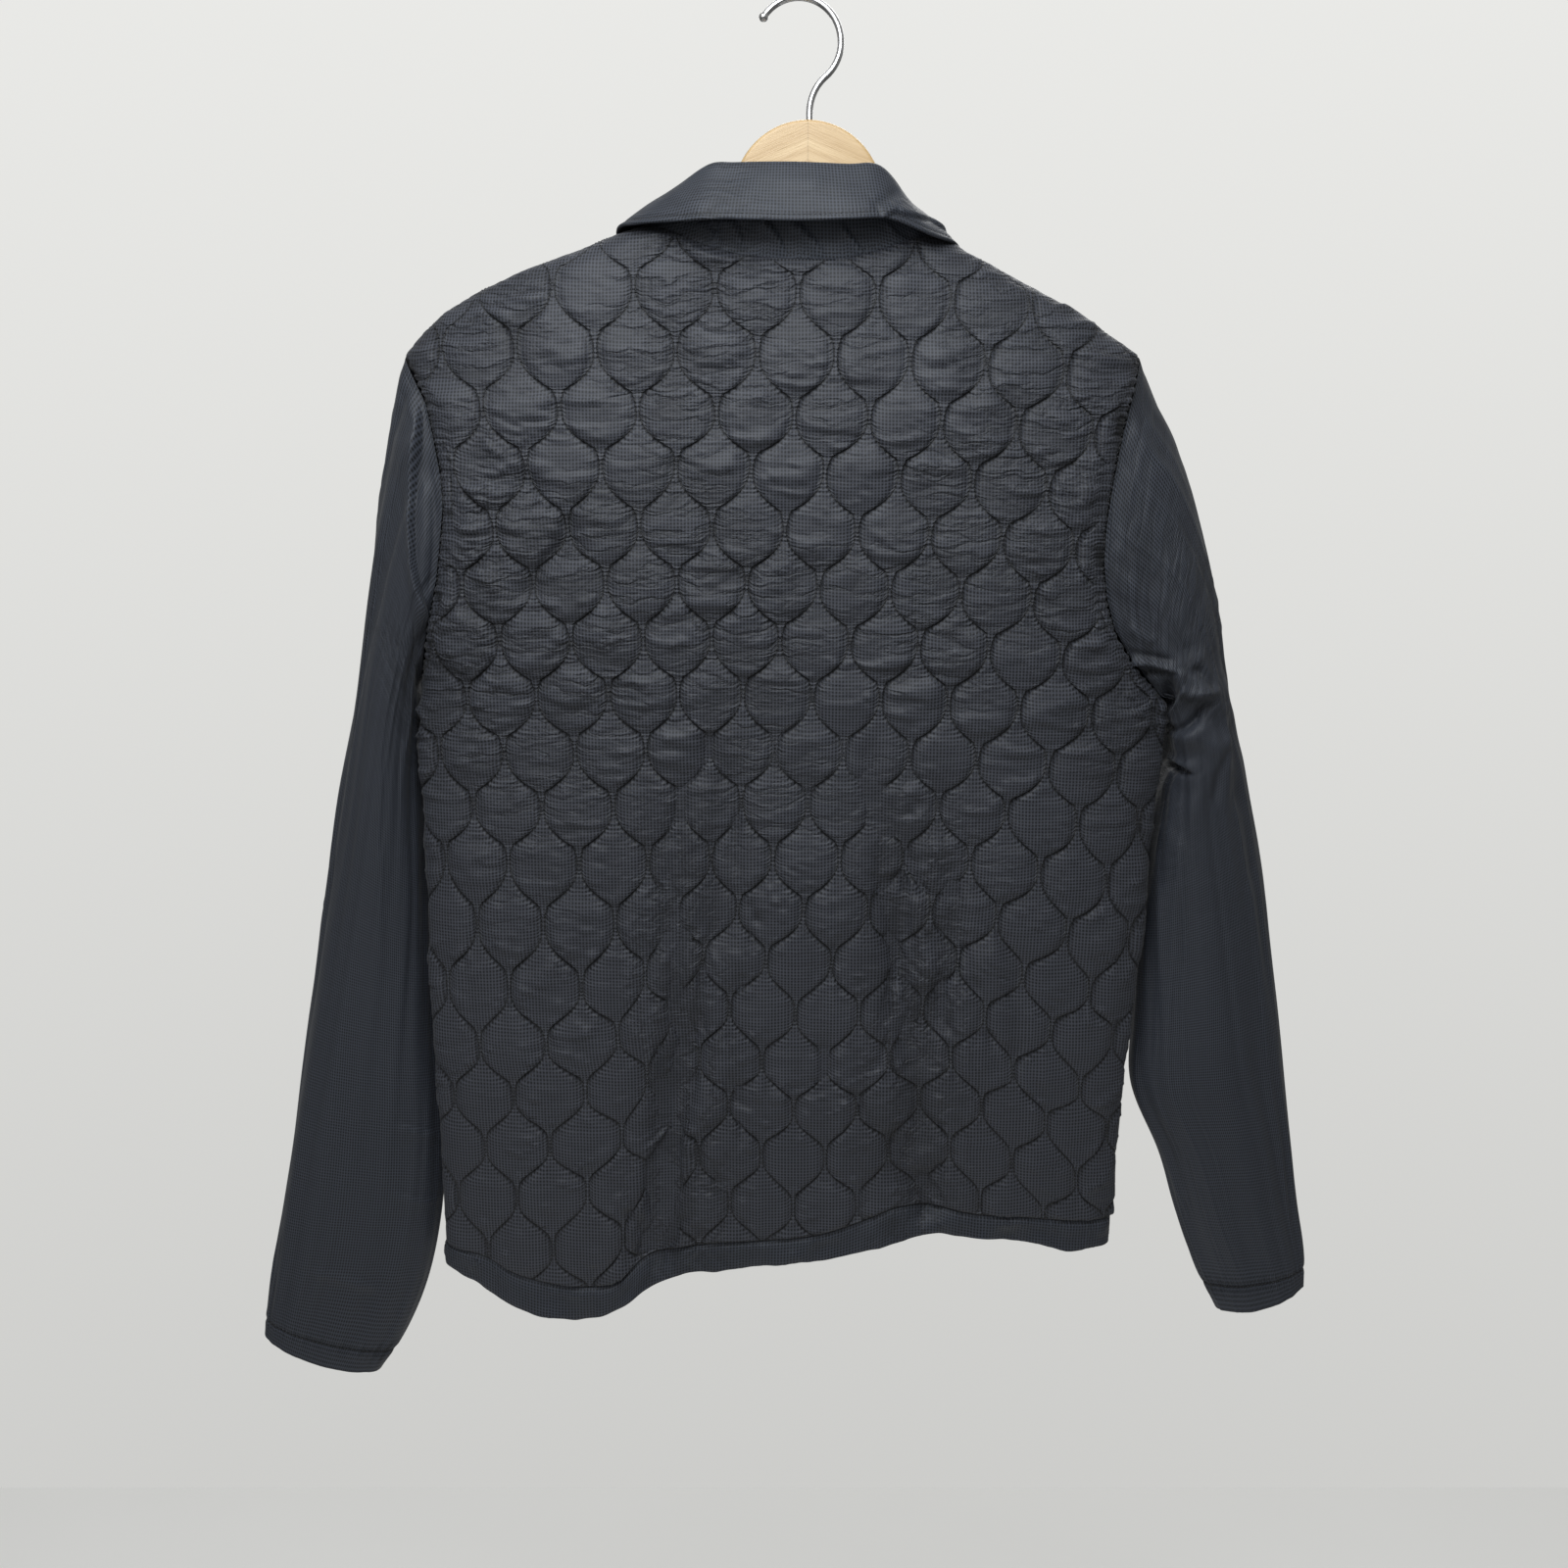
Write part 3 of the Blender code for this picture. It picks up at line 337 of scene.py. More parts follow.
def zip_runs(outer: Array, inner: Array, outer_at: Array, inner_at: Array) -> Array:
    """Triangles between two edge lines that run the same way.

    Args:
        outer: point numbers of the outer line.
        inner: point numbers of the inner line.
        outer_at: places of the outer points, from 0 to 1.
        inner_at: places of the inner points, from 0 to 1.

    Returns:
        For each step of either line, the triangle to the other line's latest point.
    """
    j = np.clip(np.searchsorted(inner_at, outer_at[1:], "left") - 1, 0, len(inner) - 1)
    i = np.clip(np.searchsorted(outer_at, inner_at[1:], "right") - 1, 0, len(outer) - 1)
    return np.concatenate([stacked(outer[1:], outer[:-1], inner[j]),
                           stacked(outer[i], inner[:-1], inner[1:])])


def grid_normals(points: Array, out: Array, ring: bool = False) -> Array:
    """Unit normals of a point grid: the cross product of its two steps.

    Args:
        points: down × across × 3.
        out: directions that the normals are turned to.
        ring: whether each row closes on itself.

    Returns:
        down × across × 3.
    """
    padded = np.concatenate([points[:, -1:], points, points[:, :1]], axis=1) if ring else points
    across = np.gradient(padded, axis=1)
    across = across[:, 1:-1] if ring else across
    normal = unit(np.cross(across, np.gradient(points, axis=0)))
    return normal * (1 if np.sum(normal * out) > 0 else -1)


@dataclass
class Cutting:
    """Triangles over the plane that can be cut along lines.

    Attributes:
        values: k numbers for each point; a cut mixes them in straight lines.
        faces: m × 3 point numbers.
    """

    values: Array
    faces: Array

    def cut(self, level: Array, flag: int) -> Cutting:
        """Keeps the part where level is above 0.

        Args:
            level: one number for each point.
            flag: the column that is set to 1 at every new point.

        Returns:
            The kept part; new points lie where the level is 0 along a face's edge.
        """
        keep = level >= 0
        count = keep[self.faces].sum(axis=1)
        one = lone_first(self.faces[count == 1], keep)
        two = lone_first(self.faces[count == 2], ~keep)
        sides = np.concatenate([one[:, [0, 1]], one[:, [0, 2]], two[:, [0, 1]], two[:, [0, 2]]])
        pairs, back = np.unique(np.sort(sides, axis=1), axis=0, return_inverse=True)
        share = level[pairs[:, 0]] / (level[pairs[:, 0]] - level[pairs[:, 1]])
        start, end = self.values[pairs[:, 0]], self.values[pairs[:, 1]]
        fresh = start + (end - start) * share[:, None]
        fresh[:, flag] = 1.0
        number = back.ravel() + len(self.values)
        n, m = len(one), len(two)
        p, q, r, s = np.split(number, [n, 2 * n, 2 * n + m])
        faces = np.concatenate([
            self.faces[count == 3], stacked(one[:, 0], p, q), stacked(r, two[:, 1], two[:, 2]),
            stacked(r, two[:, 2], s)])
        used, packed = np.unique(faces, return_inverse=True)
        return Cutting(np.concatenate([self.values, fresh])[used], packed.reshape(-1, 3))


def lone_first(faces: Array, lone: Array) -> Array:
    """Turns each face so that its one marked corner comes first."""
    turn = (np.argmax(lone[faces], axis=1)[:, None] + np.arange(3)) % 3 if len(faces) else faces
    return np.take_along_axis(faces, turn, axis=1)


def thread_bits(start: Array, end: Array, up: Array, radius: float) -> Shell:
    """Short thread stitches, each a spindle with two ends and four points round its middle.

    Args:
        start: n × 3 first ends.
        end: n × 3 last ends.
        up: n × 3 directions away from the cloth.
        radius: half the thread's thickness.

    Returns:
        One shell.
    """
    along = unit(end - start)
    side = unit(np.cross(along, up))
    lift = np.cross(side, along)
    middle = (start + end) / 2 + lift * radius * 0.5
    points = np.stack([start, end, middle + lift * radius, middle + side * radius,
                       middle - lift * radius, middle - side * radius], axis=1)
    plan = np.array([[0, 3, 2], [0, 4, 3], [0, 5, 4], [0, 2, 5],
                     [1, 2, 3], [1, 3, 4], [1, 4, 5], [1, 5, 2]])
    faces = (np.arange(len(start)) * 6)[:, None, None] + plan
    return Shell(points.reshape(-1, 3), faces.reshape(-1, 3))


def joined(shells: list[Shell]) -> Shell:
    """Several shells as one, without cloth coordinates."""
    counts = np.cumsum([0] + [len(shell.points) for shell in shells])
    faces = [shell.faces + shift for shell, shift in zip(shells, counts)]
    return Shell(np.concatenate([shell.points for shell in shells]), np.concatenate(faces))


def sewn(line: Array, up: Array, stitch: float = 3.0, gap: float = 0.8, radius: float = 0.28) -> Shell:
    """A row of stitches along a line, with ends at equal lengths.

    Args:
        line: n × 3 points, in order.
        up: n × 3 directions away from the cloth.
        stitch: length of a stitch with its gap.
        gap: length between two stitches.
        radius: half the thread's thickness.

    Returns:
        One shell.
    """
    length = lengths(line)
    first = np.arange(0.0, length[-1] - stitch, stitch)
    start, end, away = (stacked(*(np.interp(at, length, track[:, k]) for k in range(3)))
                        for track, at in ((line, first), (line, first + stitch - gap), (up, first)))
    return thread_bits(start, end, unit(away), radius)


def loft(rings: Array, uv: Array, closed: bool, marks: dict[str, Array] | None = None) -> Shell:
    """Closed shell from rings of points, two triangles a cell.

    Args:
        rings: rows × columns × 3; every row closes on itself.
        uv: cloth coordinates, one column more than the rings, and one row more if closed.
        closed: whether the last ring joins the first; otherwise a fan closes each end.
        marks: values for the rings' points.

    Returns:
        The shell.
    """
    count, around = rings.shape[:2]
    tall, wide = uv.shape[:2]
    numbers = grid_faces(tall, wide)
    faces = (numbers // wide % count) * around + numbers % wide % around
    points, flat = rings.reshape(-1, 3), uv.reshape(-1, 2)
    values = {mark: np.ravel(value) for mark, value in (marks or {}).items()}
    if not closed:
        j = np.arange(around)
        hubs = np.stack([rings[0].mean(axis=0), rings[-1].mean(axis=0)])
        low, last = len(points), (count - 1) * around
        fans = [stacked(j, (j + 1) % around, low), stacked((j + 1) % around + last, j + last, low + 1)]
        shift = (tall - 1) * wide
        uv_fans = [stacked(j, j + 1, len(flat)), stacked(j + 1 + shift, j + shift, len(flat) + 1)]
        faces, numbers = np.concatenate([faces] + fans), np.concatenate([numbers] + uv_fans)
        points = np.concatenate([points, hubs])
        flat = np.concatenate([flat, [uv[0].mean(axis=0)], [uv[-1].mean(axis=0)]])
        values = {mark: np.concatenate([value, np.full(2, MARK_REST[mark])])
                  for mark, value in values.items()}
    return Shell(points, faces, flat, numbers, values)


def point_normals(points: Array, faces: Array) -> Array:
    """Unit normals of the points: the sum of their triangles' cross products."""
    a, b, c = (points[faces[:, k]] for k in range(3))
    normal = np.cross(b - a, c - a)
    return unit(stacked(*(sum(np.bincount(faces[:, k], part, len(points)) for k in range(3))
                          for part in normal.T)))


def bordered(spine: Array, facing: Array, half: Array, turn: int = 5) -> Array:
    """Closed profiles round a strip of cloth: its two sides, and a half circle at each edge.

    Args:
        spine: rows × stations × 3, the strip's middle surface.
        facing: its unit normals.
        half: rows × stations, half the thickness.
        turn: points on each edge.

    Returns:
        stations × points × 3.
    """
    lift = facing * half[..., None]
    angle = (np.arange(turn) + 1) * math.pi / (turn + 1)
    turns = []
    for end, near in ((-1, -2), (0, 1)):
        away = unit(spine[end] - spine[near]) * half[end][:, None]
        sign = 1 if end else -1
        turns.append(spine[end] + sign * lift[end] * np.cos(angle)[:, None, None]
                     + away * np.sin(angle)[:, None, None])
    rings = np.concatenate([spine + lift, turns[0], (spine - lift)[::-1], turns[1]])
    return np.swapaxes(rings, 0, 1)


def ring_uv(rings: Array, along: Array) -> Array:
    """Cloth coordinates of lofted rings: the given length along, and the length round each ring."""
    closed = np.concatenate([rings, rings[:, :1]], axis=1)
    return stacked(along[:, None], lengths(np.swapaxes(closed, 0, 1)).T)


def strip(spine: Array, facing: Array, half: Array, along: Array, seam: Array | None = None,
          ruffled: float = 0.0, width: float = 1.0) -> Shell:
    """A strip of cloth with a wall, round edges and its marks.

    Args:
        spine: rows × stations × 3, its middle surface.
        facing: its unit normals.
        half: rows × stations, half the thickness.
        along: length of each station along it.
        seam: rows × stations, distance of the outer side from its stitching, if any.
        ruffled: pucker beside the stitching.
        width: how far the pucker reaches.

    Returns:
        The shell, whose pucker is ruffled exp(-seam / width).
    """
    rings = bordered(spine, facing, half)
    mark = np.full(rings.shape[:2], FAR)
    if seam is not None:
        mark[:, :len(seam)] = seam.T
    return loft(rings, ring_uv(rings, along), False,
                {"seam": mark, "pucker": ruffled * np.exp(-mark / width)})


# ---- The body's form
@dataclass(frozen=True)
class Side:
    """One side of the body's outline: shoulder seam, armhole and side seam.

    Attributes:
        sign: -1 on the left and 1 on the right.
        ridge: x, z along the shoulder seam from the neck to the tip.
        seam: x, z from the tip down the armhole and the side seam.
        tip: height of the shoulder tip.
        underarm: height of the armhole's lowest point.
        hole: half the armhole's width, front to back.
    """

    sign: int
    ridge: Rows
    seam: Rows
    tip: float
    underarm: float
    hole: float = 30.0

    def armhole(self, z: Array) -> Array:
        """Half width of the oval armhole at the heights."""
        middle, reach = (self.tip + self.underarm) / 2, (self.tip - self.underarm) / 2
        return self.hole * np.sqrt(np.clip(1 - ((z - middle) / reach) ** 2, 0, 1))

    def line(self, inset: float) -> tuple[Array, Array, Array]:
        """Heights upwards, x and edge depth of the outline, moved inwards by the inset."""
        points = np.array(self.ridge + self.seam, dtype=float)
        depth = self.armhole(points[:, 1])
        turn = np.clip(depth / 10.0, 0, 1) * math.pi / 2
        along = unit(np.gradient(points, axis=0))
        inward = stacked(-along[:, 1], along[:, 0]) * -self.sign
        points = points + inward * (inset * np.cos(turn))[:, None]
        return points[::-1, 1], points[::-1, 0], (depth - inset * np.sin(turn))[::-1]


LEFT_SIDE = Side(
    sign=-1,
    ridge=((-94, -129), (-111, -134), (-136, -144), (-167, -155),
           (-194, -167), (-213, -178), (-226, -190), (-237, -203)),
    seam=((-222, -231), (-217, -253), (-213, -275), (-212, -295), (-215, -320),
          (-218, -340), (-225, -366), (-233, -398), (-236, -437), (-234, -533),
          (-235, -614), (-232, -700), (-231, -768), (-232, -800)),
    tip=-203, underarm=-398)
RIGHT_SIDE = Side(
    sign=1,
    ridge=((84, -135), (93, -138), (102, -144), (124, -155),
           (147, -167), (169, -178), (185, -190), (206, -204)),
    seam=((199, -228), (193, -250), (188, -275), (184, -302), (183, -327),
          (186, -351), (192, -370), (202, -386), (214, -400), (230, -413),
          (228, -445), (222, -500), (220, -550), (212, -636), (208, -700),
          (206, -764), (206, -800)),
    tip=-204, underarm=-413)


@dataclass(frozen=True)
class Half:
    """The back or the front of the body as depth over the x-z plane.

    Attributes:
        face: which half it is.
        depths: height, and how far the cloth stands off the middle plane.
        neck_line: x, z of the seam under the collar.
        hem_line: x, z of the hem's stitch line, z of the lower edge.
        folds: soft troughs: top x z, bottom x z, depth, half width.
        inset: how far this surface lies inside the outer one.
        power: 2 makes the section an ellipse, more makes it boxier.
    """

    face: Face
    depths: Rows
    neck_line: Rows
    hem_line: Rows
    folds: Rows = ()
    inset: float = 0.0
    power: float = 3.0

    def ends(self, z: Array) -> list[Array]:
        """At the heights, x of the left and the right outline, and then their edge depths."""
        lines = [side.line(self.inset) for side in (LEFT_SIDE, RIGHT_SIDE)]
        return [np.interp(z, line[0], line[k]) for k in (1, 2) for line in lines]

    def depth(self, x: Array, z: Array) -> Array:
        """Distance of the cloth from the middle plane.

        Args:
            x: places across.
            z: places up.

        Returns:
            edge + (full - edge) (1 - |share|^3)^(1/3), where share runs from -1 to 1
            between the outlines, less the troughs.
        """
        left, right, at_left, at_right = self.ends(z)
        share = np.clip((2 * x - left - right) / (right - left), -1, 1)
        edge = np.maximum(at_left + (at_right - at_left) * (share + 1) / 2, 0)
        full = smooth(self.depths, z) - self.inset
        crown = (1 - np.abs(share) ** self.power) ** (1 / self.power)
        out = edge + (full - edge) * crown
        total = np.zeros(out.shape)
        for *line, deep, half in self.folds:
            along, across, _ = beside(x, z, line)
            fade = ramp(along / 0.3 + 0.3) * ramp((1 - along) / 0.2 + 0.5)
            total = total + deep * bell(across, half) * fade
        return np.maximum(out - total * ramp((1 - np.abs(share)) * 8), SEAM_GAP / 2)

    def neck(self, x: Array) -> Array:
        """Height of the neck seam; the inner wall drops where the seam meets the ridge."""
        z = smooth(self.neck_line, x)
        if self.inset:
            z = z - self.inset * np.clip(1 - self.depth(x, z) / 10, 0, 1)
        return z

    def hem(self, x: Array, column: int = 1) -> Array:
        """Height of the hem's stitch line (1) or of its lower edge (2)."""
        lift = 2 * SEAM_GAP if self.inset and column == 1 else 0.0
        return smooth(self.hem_line, x, column) + lift


BACK_HALF = Half(
    face=Face.BACK,
    depths=((-129, 25), (-151, 28), (-200, 33), (-280, 37), (-400, 37), (-600, 34), (-820, 30)),
    neck_line=((-94, -129), (-76, -134), (-57, -142), (-41, -147), (-20, -150), (5, -151),
               (30, -150), (52, -144), (72, -137.5), (84, -135)),
    hem_line=((-233, -768, -784), (-215, -770, -790), (-203, -772, -797), (-184, -782, -806),
              (-161, -788, -813), (-137, -790, -813), (-116, -786, -806), (-100, -772, -794),
              (-83, -765, -785), (-68, -761, -781), (-19, -757, -776), (15, -753, -772),
              (46, -742, -764), (63, -735, -759), (87, -735, -754), (113, -740, -757),
              (151, -744, -763), (180, -748, -770), (207, -750, -768)),
    folds=((-62, -590, -96, -790, 7.0, 13.0), (56, -505, 78, -690, 5.0, 12.0),
           (100, -540, 84, -640, 3.5, 11.0), (60, -680, 88, -742, 5.0, 12.0),
           (-40, -430, -52, -560, 3.0, 12.0), (-150, -290, -196, -262, 3.0, 11.0),
           (-128, -300, -168, -345, 3.0, 11.0)))
FRONT_HALF = Half(
    face=Face.FRONT,
    depths=((-129, 23), (-212, 31), (-280, 36), (-400, 37), (-600, 35), (-820, 31)),
    neck_line=((-94, -129), (-86, -146), (-70, -170), (-45, -194), (-8, -212),
               (30, -197), (58, -173), (75, -150), (84, -135)),
    hem_line=((-233, -768, -784), (-150, -770, -790), (-60, -760, -780), (40, -747, -768),
              (130, -745, -765), (207, -750, -768)))


@dataclass(frozen=True)
class Lap:
    """How the left front laps over the right one.

    Attributes:
        centre: x of the closing line.
        half: each front goes past that line by this much.
        step: how far the upper front stands off the lower one.
    """

    centre: float = -8.0
    half: float = 13.0
    step: float = 3.0

    def lift(self, x: Array) -> Array:
        """How far the upper front is lifted: a smooth step that ends before the closing line."""
        return self.step * ramp((x - self.centre + 70) / 50)


LAP = Lap()
NO_LIMIT = 500.0    # a panel's limit in x that lies further out is none


# ---- Quilted panels
@dataclass(frozen=True)
class Quilting:
    """Onion-shaped cells between mirrored waves of stitching.

    Attributes:
        rows: z at the stations and width of a cell, for each row.
        first: number of the first row.
        stations: their x.
        origin: x where a line of necks stands in every second row.
        reach: of a strip; 0.5 would close the necks.
        steps: for upper and low rows, the shares of the spacing where a wave leaves one neck
            and meets the next, how much rounder its cells are below, how softly it ends, and
            how much of the way is left for the neck.
        loft: how far a full cell stands above the stitch lines.
        drifts: length along the cloth and shift of the necks, for top, middle and low rows.
    """

    rows: Rows = (
        (-98, -99, -101, -104, -107, -110, 48.6), (-131, -132, -134, -137, -140, -143, 48.0),
        (-164, -166, -167, -170, -173, -176, 47.4), (-200, -203, -204, -206, -210, -219, 46.4),
        (-236, -238, -240, -242, -245, -251, 45.2), (-270, -270, -270, -274, -279, -287, 44.2),
        (-308, -306, -306, -308, -311, -320, 43.2), (-341, -338, -338, -341, -345, -354, 42.8),
        (-373, -373, -372, -374, -377, -387, 42.3), (-409, -406, -405, -407, -411, -418, 42.0),
        (-442, -440, -439, -441, -445, -454, 41.5), (-476, -475, -471, -472, -475, -487, 41.0),
        (-508, -510, -508, -507, -507, -523, 41.0), (-549, -546, -539, -539, -539, -559, 41.0),
        (-590, -585, -569, -572, -571, -594, 41.0), (-629, -619, -602, -605, -602, -624, 41.0),
        (-663, -652, -636, -639, -634, -659, 41.0), (-695, -686, -666, -668, -661, -686, 41.0),
        (-731, -716, -698, -700, -693, -721, 41.0), (-767, -754, -732, -734, -726, -751, 41.0),
        (-804, -788, -765, -766, -759, -785, 41.0), (-839, -822, -799, -799, -792, -818, 41.0),
        (-873, -856, -833, -833, -826, -852, 41.0))
    first: int = -2
    stations: tuple[float, ...] = (-200.0, -112.0, -65.0, 10.0, 95.0, 185.0)
    origin: float = -51.0
    reach: float = 0.457
    steps: Rows = ((0.0, 0.68, 2.4, 0.0, 0.13), (0.16, 0.81, 1.3, 0.8, 0.04))
    loft: float = 2.7
    drifts: tuple[Rows, ...] = (
        ((-116, 0), (-21, 2), (30, 3.2), (95, 2), (125, 0.3), (200, -0.5)),
        ((-143, -5.5), (-102, -4), (-61, -0.5), (-20, -0.5), (20, -4.5), (61, -4.5), (102, -5.5),
         (143, -6.5), (184, -6), (225, -2)),
        ((-150, -8), (-120, -8), (-95, -5), (-62, -1), (-42, -4.5), (-20, -9), (0, -12), (40, -12.5),
         (82, -13.5), (123, -14.5), (164, -15.5), (205, -16.5), (246, -14)))

    def column(self, row: Array, k: int) -> Array:
        """One entry of the table at fractional row numbers."""
        table = np.array(self.rows)
        return np.interp(row, np.arange(len(table)) + self.first, table[:, k])

    def height(self, row: Array, x: Array) -> Array:
        """Height of a row: the heights at its stations, joined by a smooth curve."""
        each = np.eye(len(self.stations))
        return sum(self.column(row, k) * smooth(np.column_stack([self.stations, each[k]]), x)
                   for k in range(len(each)))

    def spacing(self, row: Array) -> Array:
        """Height from one row to the next."""
        return self.column(row - 0.5, 2) - self.column(row + 0.5, 2)

    def wave(self, row: Array) -> Array:
        """1 at even rows and -1 at odd ones: straight necks joined by smooth steps of t^bowl."""
        low = ramp((row - 9) / 5)
        start, end, bowl, soft, lip = (high + (deep - high) * low for high, deep in zip(*self.steps))
        t = np.clip((np.mod(row, 1.0) - start) / (end - start), 0, 1) ** bowl
        left = np.clip((1 - np.mod(row, 1.0)) / (1 - end), 0, 1)
        step = (1 - lip) * (t + soft * (ramp(t) - t)) + lip * (1 - left ** 2)
        return (1 - 2 * np.mod(np.floor(row), 2)) * (1 - 2 * step)

    def line(self, number: Array, row: Array) -> Array:
        """Place of a stitch line in strips: its number, swung to and fro by the wave."""
        return number + np.where(np.mod(number, 2) == 0, 1, -1) * self.reach * self.wave(row)

    def drift(self, along: Array, row: Array, face: Face) -> Array:
        """How far the cloth's necks stand off their even places, along the cloth."""
        wobble = 0.5 * noise(along / 31.0, row * 1.1, 41 + face.value, 1)
        if face is Face.FRONT:
            return wobble
        top, middle, low = (smooth(table, along) for table in self.drifts)
        sunk = ramp((row - 9.5) / 4.5)
        return (wobble + top * ramp((3.5 - row) / 1.5) + middle * ramp((row - 3) / 6) * (1 - sunk)
                + low * sunk)


@dataclass
class Trace:
    """Rows of stations across a panel, with their length along the cloth from the origin."""

    x: Array
    along: Array


@dataclass(frozen=True)
class Wrinkles:
    """Heights of a quilted panel's wrinkles.

    Attributes:
        drag: across the upper cells, hanging over.
        upright: down the low cells.
        slant: across all of them at a slant.
        crumple: beside the armholes.
        swell: of the whole panel.
        placed: share of the hand-placed folds' own heights.
        rung: of the ridges on the bands round the armholes.
    """

    drag: float = 2.1
    upright: float = 2.0
    slant: float = 1.6
    crumple: float = 3.2
    swell: float = 1.1
    # placed: share of the listed folds' own heights.
    placed: float = 1.5
    rung: float = 1.7


@dataclass
class QuiltedPanel:
    """One quilted piece of the body, cut to its outline, with its stitching.

    Attributes:
        name: name of the piece and of its CAD node.
        half: the outer surface.
        flat: width and length of the cut, in metres, and its area; not used.
        left_x: where it ends on the left, if before the outline.
        right_x: the same on the right.
        lapped: whether it lies over the other front.
        fine: sub-rows in a quilt row and columns in a strip, outside.
        coarse: the same for the plain inside.
        thick: cloth pressed flat at a stitch line.
        strokes: listed folds, for `strokes`.
        quilting: the pattern.
        strips: numbers of the first and the last stitch line.
        band: width of the flat band along the armhole.
        stitch_rows: how far inside the armhole its two rows of stitching run.
        sag: how far a full cell hangs down.
        wrinkles: heights of its wrinkles.
        stations: points across it where its length is measured.
    """

    name: str
    half: Half
    flat: tuple[float, float, float]
    left_x: float = -1000.0
    right_x: float = 1000.0
    lapped: bool = False
    fine: tuple[int, int] = (22, 9)
    coarse: tuple[int, int] = (3, 2)
    thick: float = 1.2
    strokes: Rows = ()
    quilting: Quilting = Quilting()
    strips: tuple[int, int] = (-13, 18)
    band: float = 9.0
    stitch_rows: tuple[float, float] = (2.0, 8.0)
    sag: float = 3.0
    wrinkles: Wrinkles = Wrinkles()
    stations: int = 241
    seed: int = 5

    def trace(self, rows: Array, half: Half) -> Trace:
        """Stations across the rows, crowded towards the ends, where the cloth turns.

        Args:
            rows: quilt row numbers.
            half: the surface.

        Returns:
            Their x and their length along the cloth.
        """
        q = self.quilting
        first, last = np.full(len(rows), -200.0), np.full(len(rows), 180.0)
        for _ in range(12):
            first = half.ends(q.height(rows, first))[0]
            last = half.ends(q.height(rows, last))[1]
        first, last = np.maximum(first, self.left_x), np.minimum(last, self.right_x)
        x = first[:, None] + (last - first)[:, None] * crowded(self.stations)
        depth = half.depth(x, q.height(rows[:, None], x))
        along = lengths(np.swapaxes(stacked(x, depth), 0, 1)).T
        start = read_rows(x, along, np.full((len(rows), 1), q.origin))
        outside = (first > q.origin)[:, None]
        return Trace(x, along - np.where(outside, q.origin - first[:, None], start))

    def surface(self, half: Half, steps: tuple[int, int]) -> Cutting:
        """Grid that follows the stitch lines, cut to the panel's outline.

        Args:
            half: the surface.
            steps: sub-rows in a quilt row and columns in a strip.

        Returns:
            Points with the values of `COLUMNS`, crowded towards the stitch lines.
        """
        q = self.quilting
        rows = np.linspace(q.first, q.first + len(q.rows) - 1, (len(q.rows) - 1) * steps[0] + 1)
        strip = np.arange(*self.strips).repeat(steps[1])
        part = np.tile(np.arange(steps[1]) / steps[1], self.strips[1] - self.strips[0])
        share = 0.5 * part + 0.25 * (1 - np.cos(math.pi * part))
        near, far = (q.line(strip + k, rows[:, None]) for k in (0, 1))
        place = (near + (far - near) * share - 0.5) * q.column(rows, -1)[:, None] / 2
        place = place + q.drift(place, rows[:, None], self.half.face)
        trace = self.trace(rows, half)
        x = read_rows(trace.along, trace.x, place)
        z = q.height(rows[:, None], x)
        values = stacked(x, z, place, rows[:, None], strip + share, place - trace.along[:, :1],
                         trace.along[:, -1:] - place, 0, 0, 0, 0)
        mesh = Cutting(values.reshape(-1, len(COLUMNS)), grid_faces(*x.shape))
        for side, level in (("at_left", "from_left"), ("at_right", "from_right")):
            mesh = mesh.cut(mesh.values[:, COLUMNS.index(level)], COLUMNS.index(side))
        mesh = mesh.cut(half.neck(mesh.values[:, 0]) - mesh.values[:, 1], COLUMNS.index("at_neck"))
        return mesh.cut(mesh.values[:, 1] - half.hem(mesh.values[:, 0]), COLUMNS.index("at_hem"))

    def settle(self, mesh: Cutting, half: Half) -> dict[str, Array]:
        """Moves the cut points exactly onto the outline.

        Args:
            mesh: points with the values of `COLUMNS`.
            half: the surface.

        Returns:
            The values by name.
        """
        at = {name: mesh.values[:, k] for k, name in enumerate(COLUMNS)}
        left, right = half.ends(at["z"])[:2]
        at["x"] = np.where(at["at_left"] > AT_EDGE, np.maximum(left, self.left_x), at["x"])
        at["x"] = np.where(at["at_right"] > AT_EDGE, np.minimum(right, self.right_x), at["x"])
        at["z"] = np.where(at["at_neck"] > AT_EDGE, half.neck(at["x"]), at["z"])
        at["z"] = np.where(at["at_hem"] > AT_EDGE, half.hem(at["x"]), at["z"])
        return at | {key: np.maximum(at[key], 0) for key in ("from_left", "from_right")}

    def place(self, x: Array, z: Array, half: Half) -> Array:
        """World points of the smooth surface."""
        lift = LAP.lift(x) if self.lapped else 0.0
        return stacked(x, half.face.value * (half.depth(x, z) + lift), z)

    def flatness(self, at: dict[str, Array]) -> Array:
        """Where the cloth is quilted.

        Args:
            at: the points' values by name.

        Returns:
            1 inside the panel and 0 on the flat band along its edges.
        """
        keep = np.ones(len(at["x"]))
        for side, key, limit in ((LEFT_SIDE, "from_left", self.left_x),
                                 (RIGHT_SIDE, "from_right", self.right_x)):
            open_edge = abs(limit) < NO_LIMIT
            band = 2 * LAP.half if open_edge else self.band
            hole = 1.0 if open_edge else (ramp((side.tip + 4 - at["z"]) / 8)
                                          * ramp((at["z"] - side.underarm + 8) / 12))
            keep = keep * ramp((at[key] - band * hole) / (14 - 9 * hole))
            keep = keep * (1 - (1 - ramp((at[key] + 3) / 22)) * ramp((at["z"] - side.tip + 6) / 10))
        neck, hem = self.half.neck(at["x"]) - at["z"], at["z"] - self.half.hem(at["x"])
        return keep * ramp(neck / 5) * ramp(hem / 4)

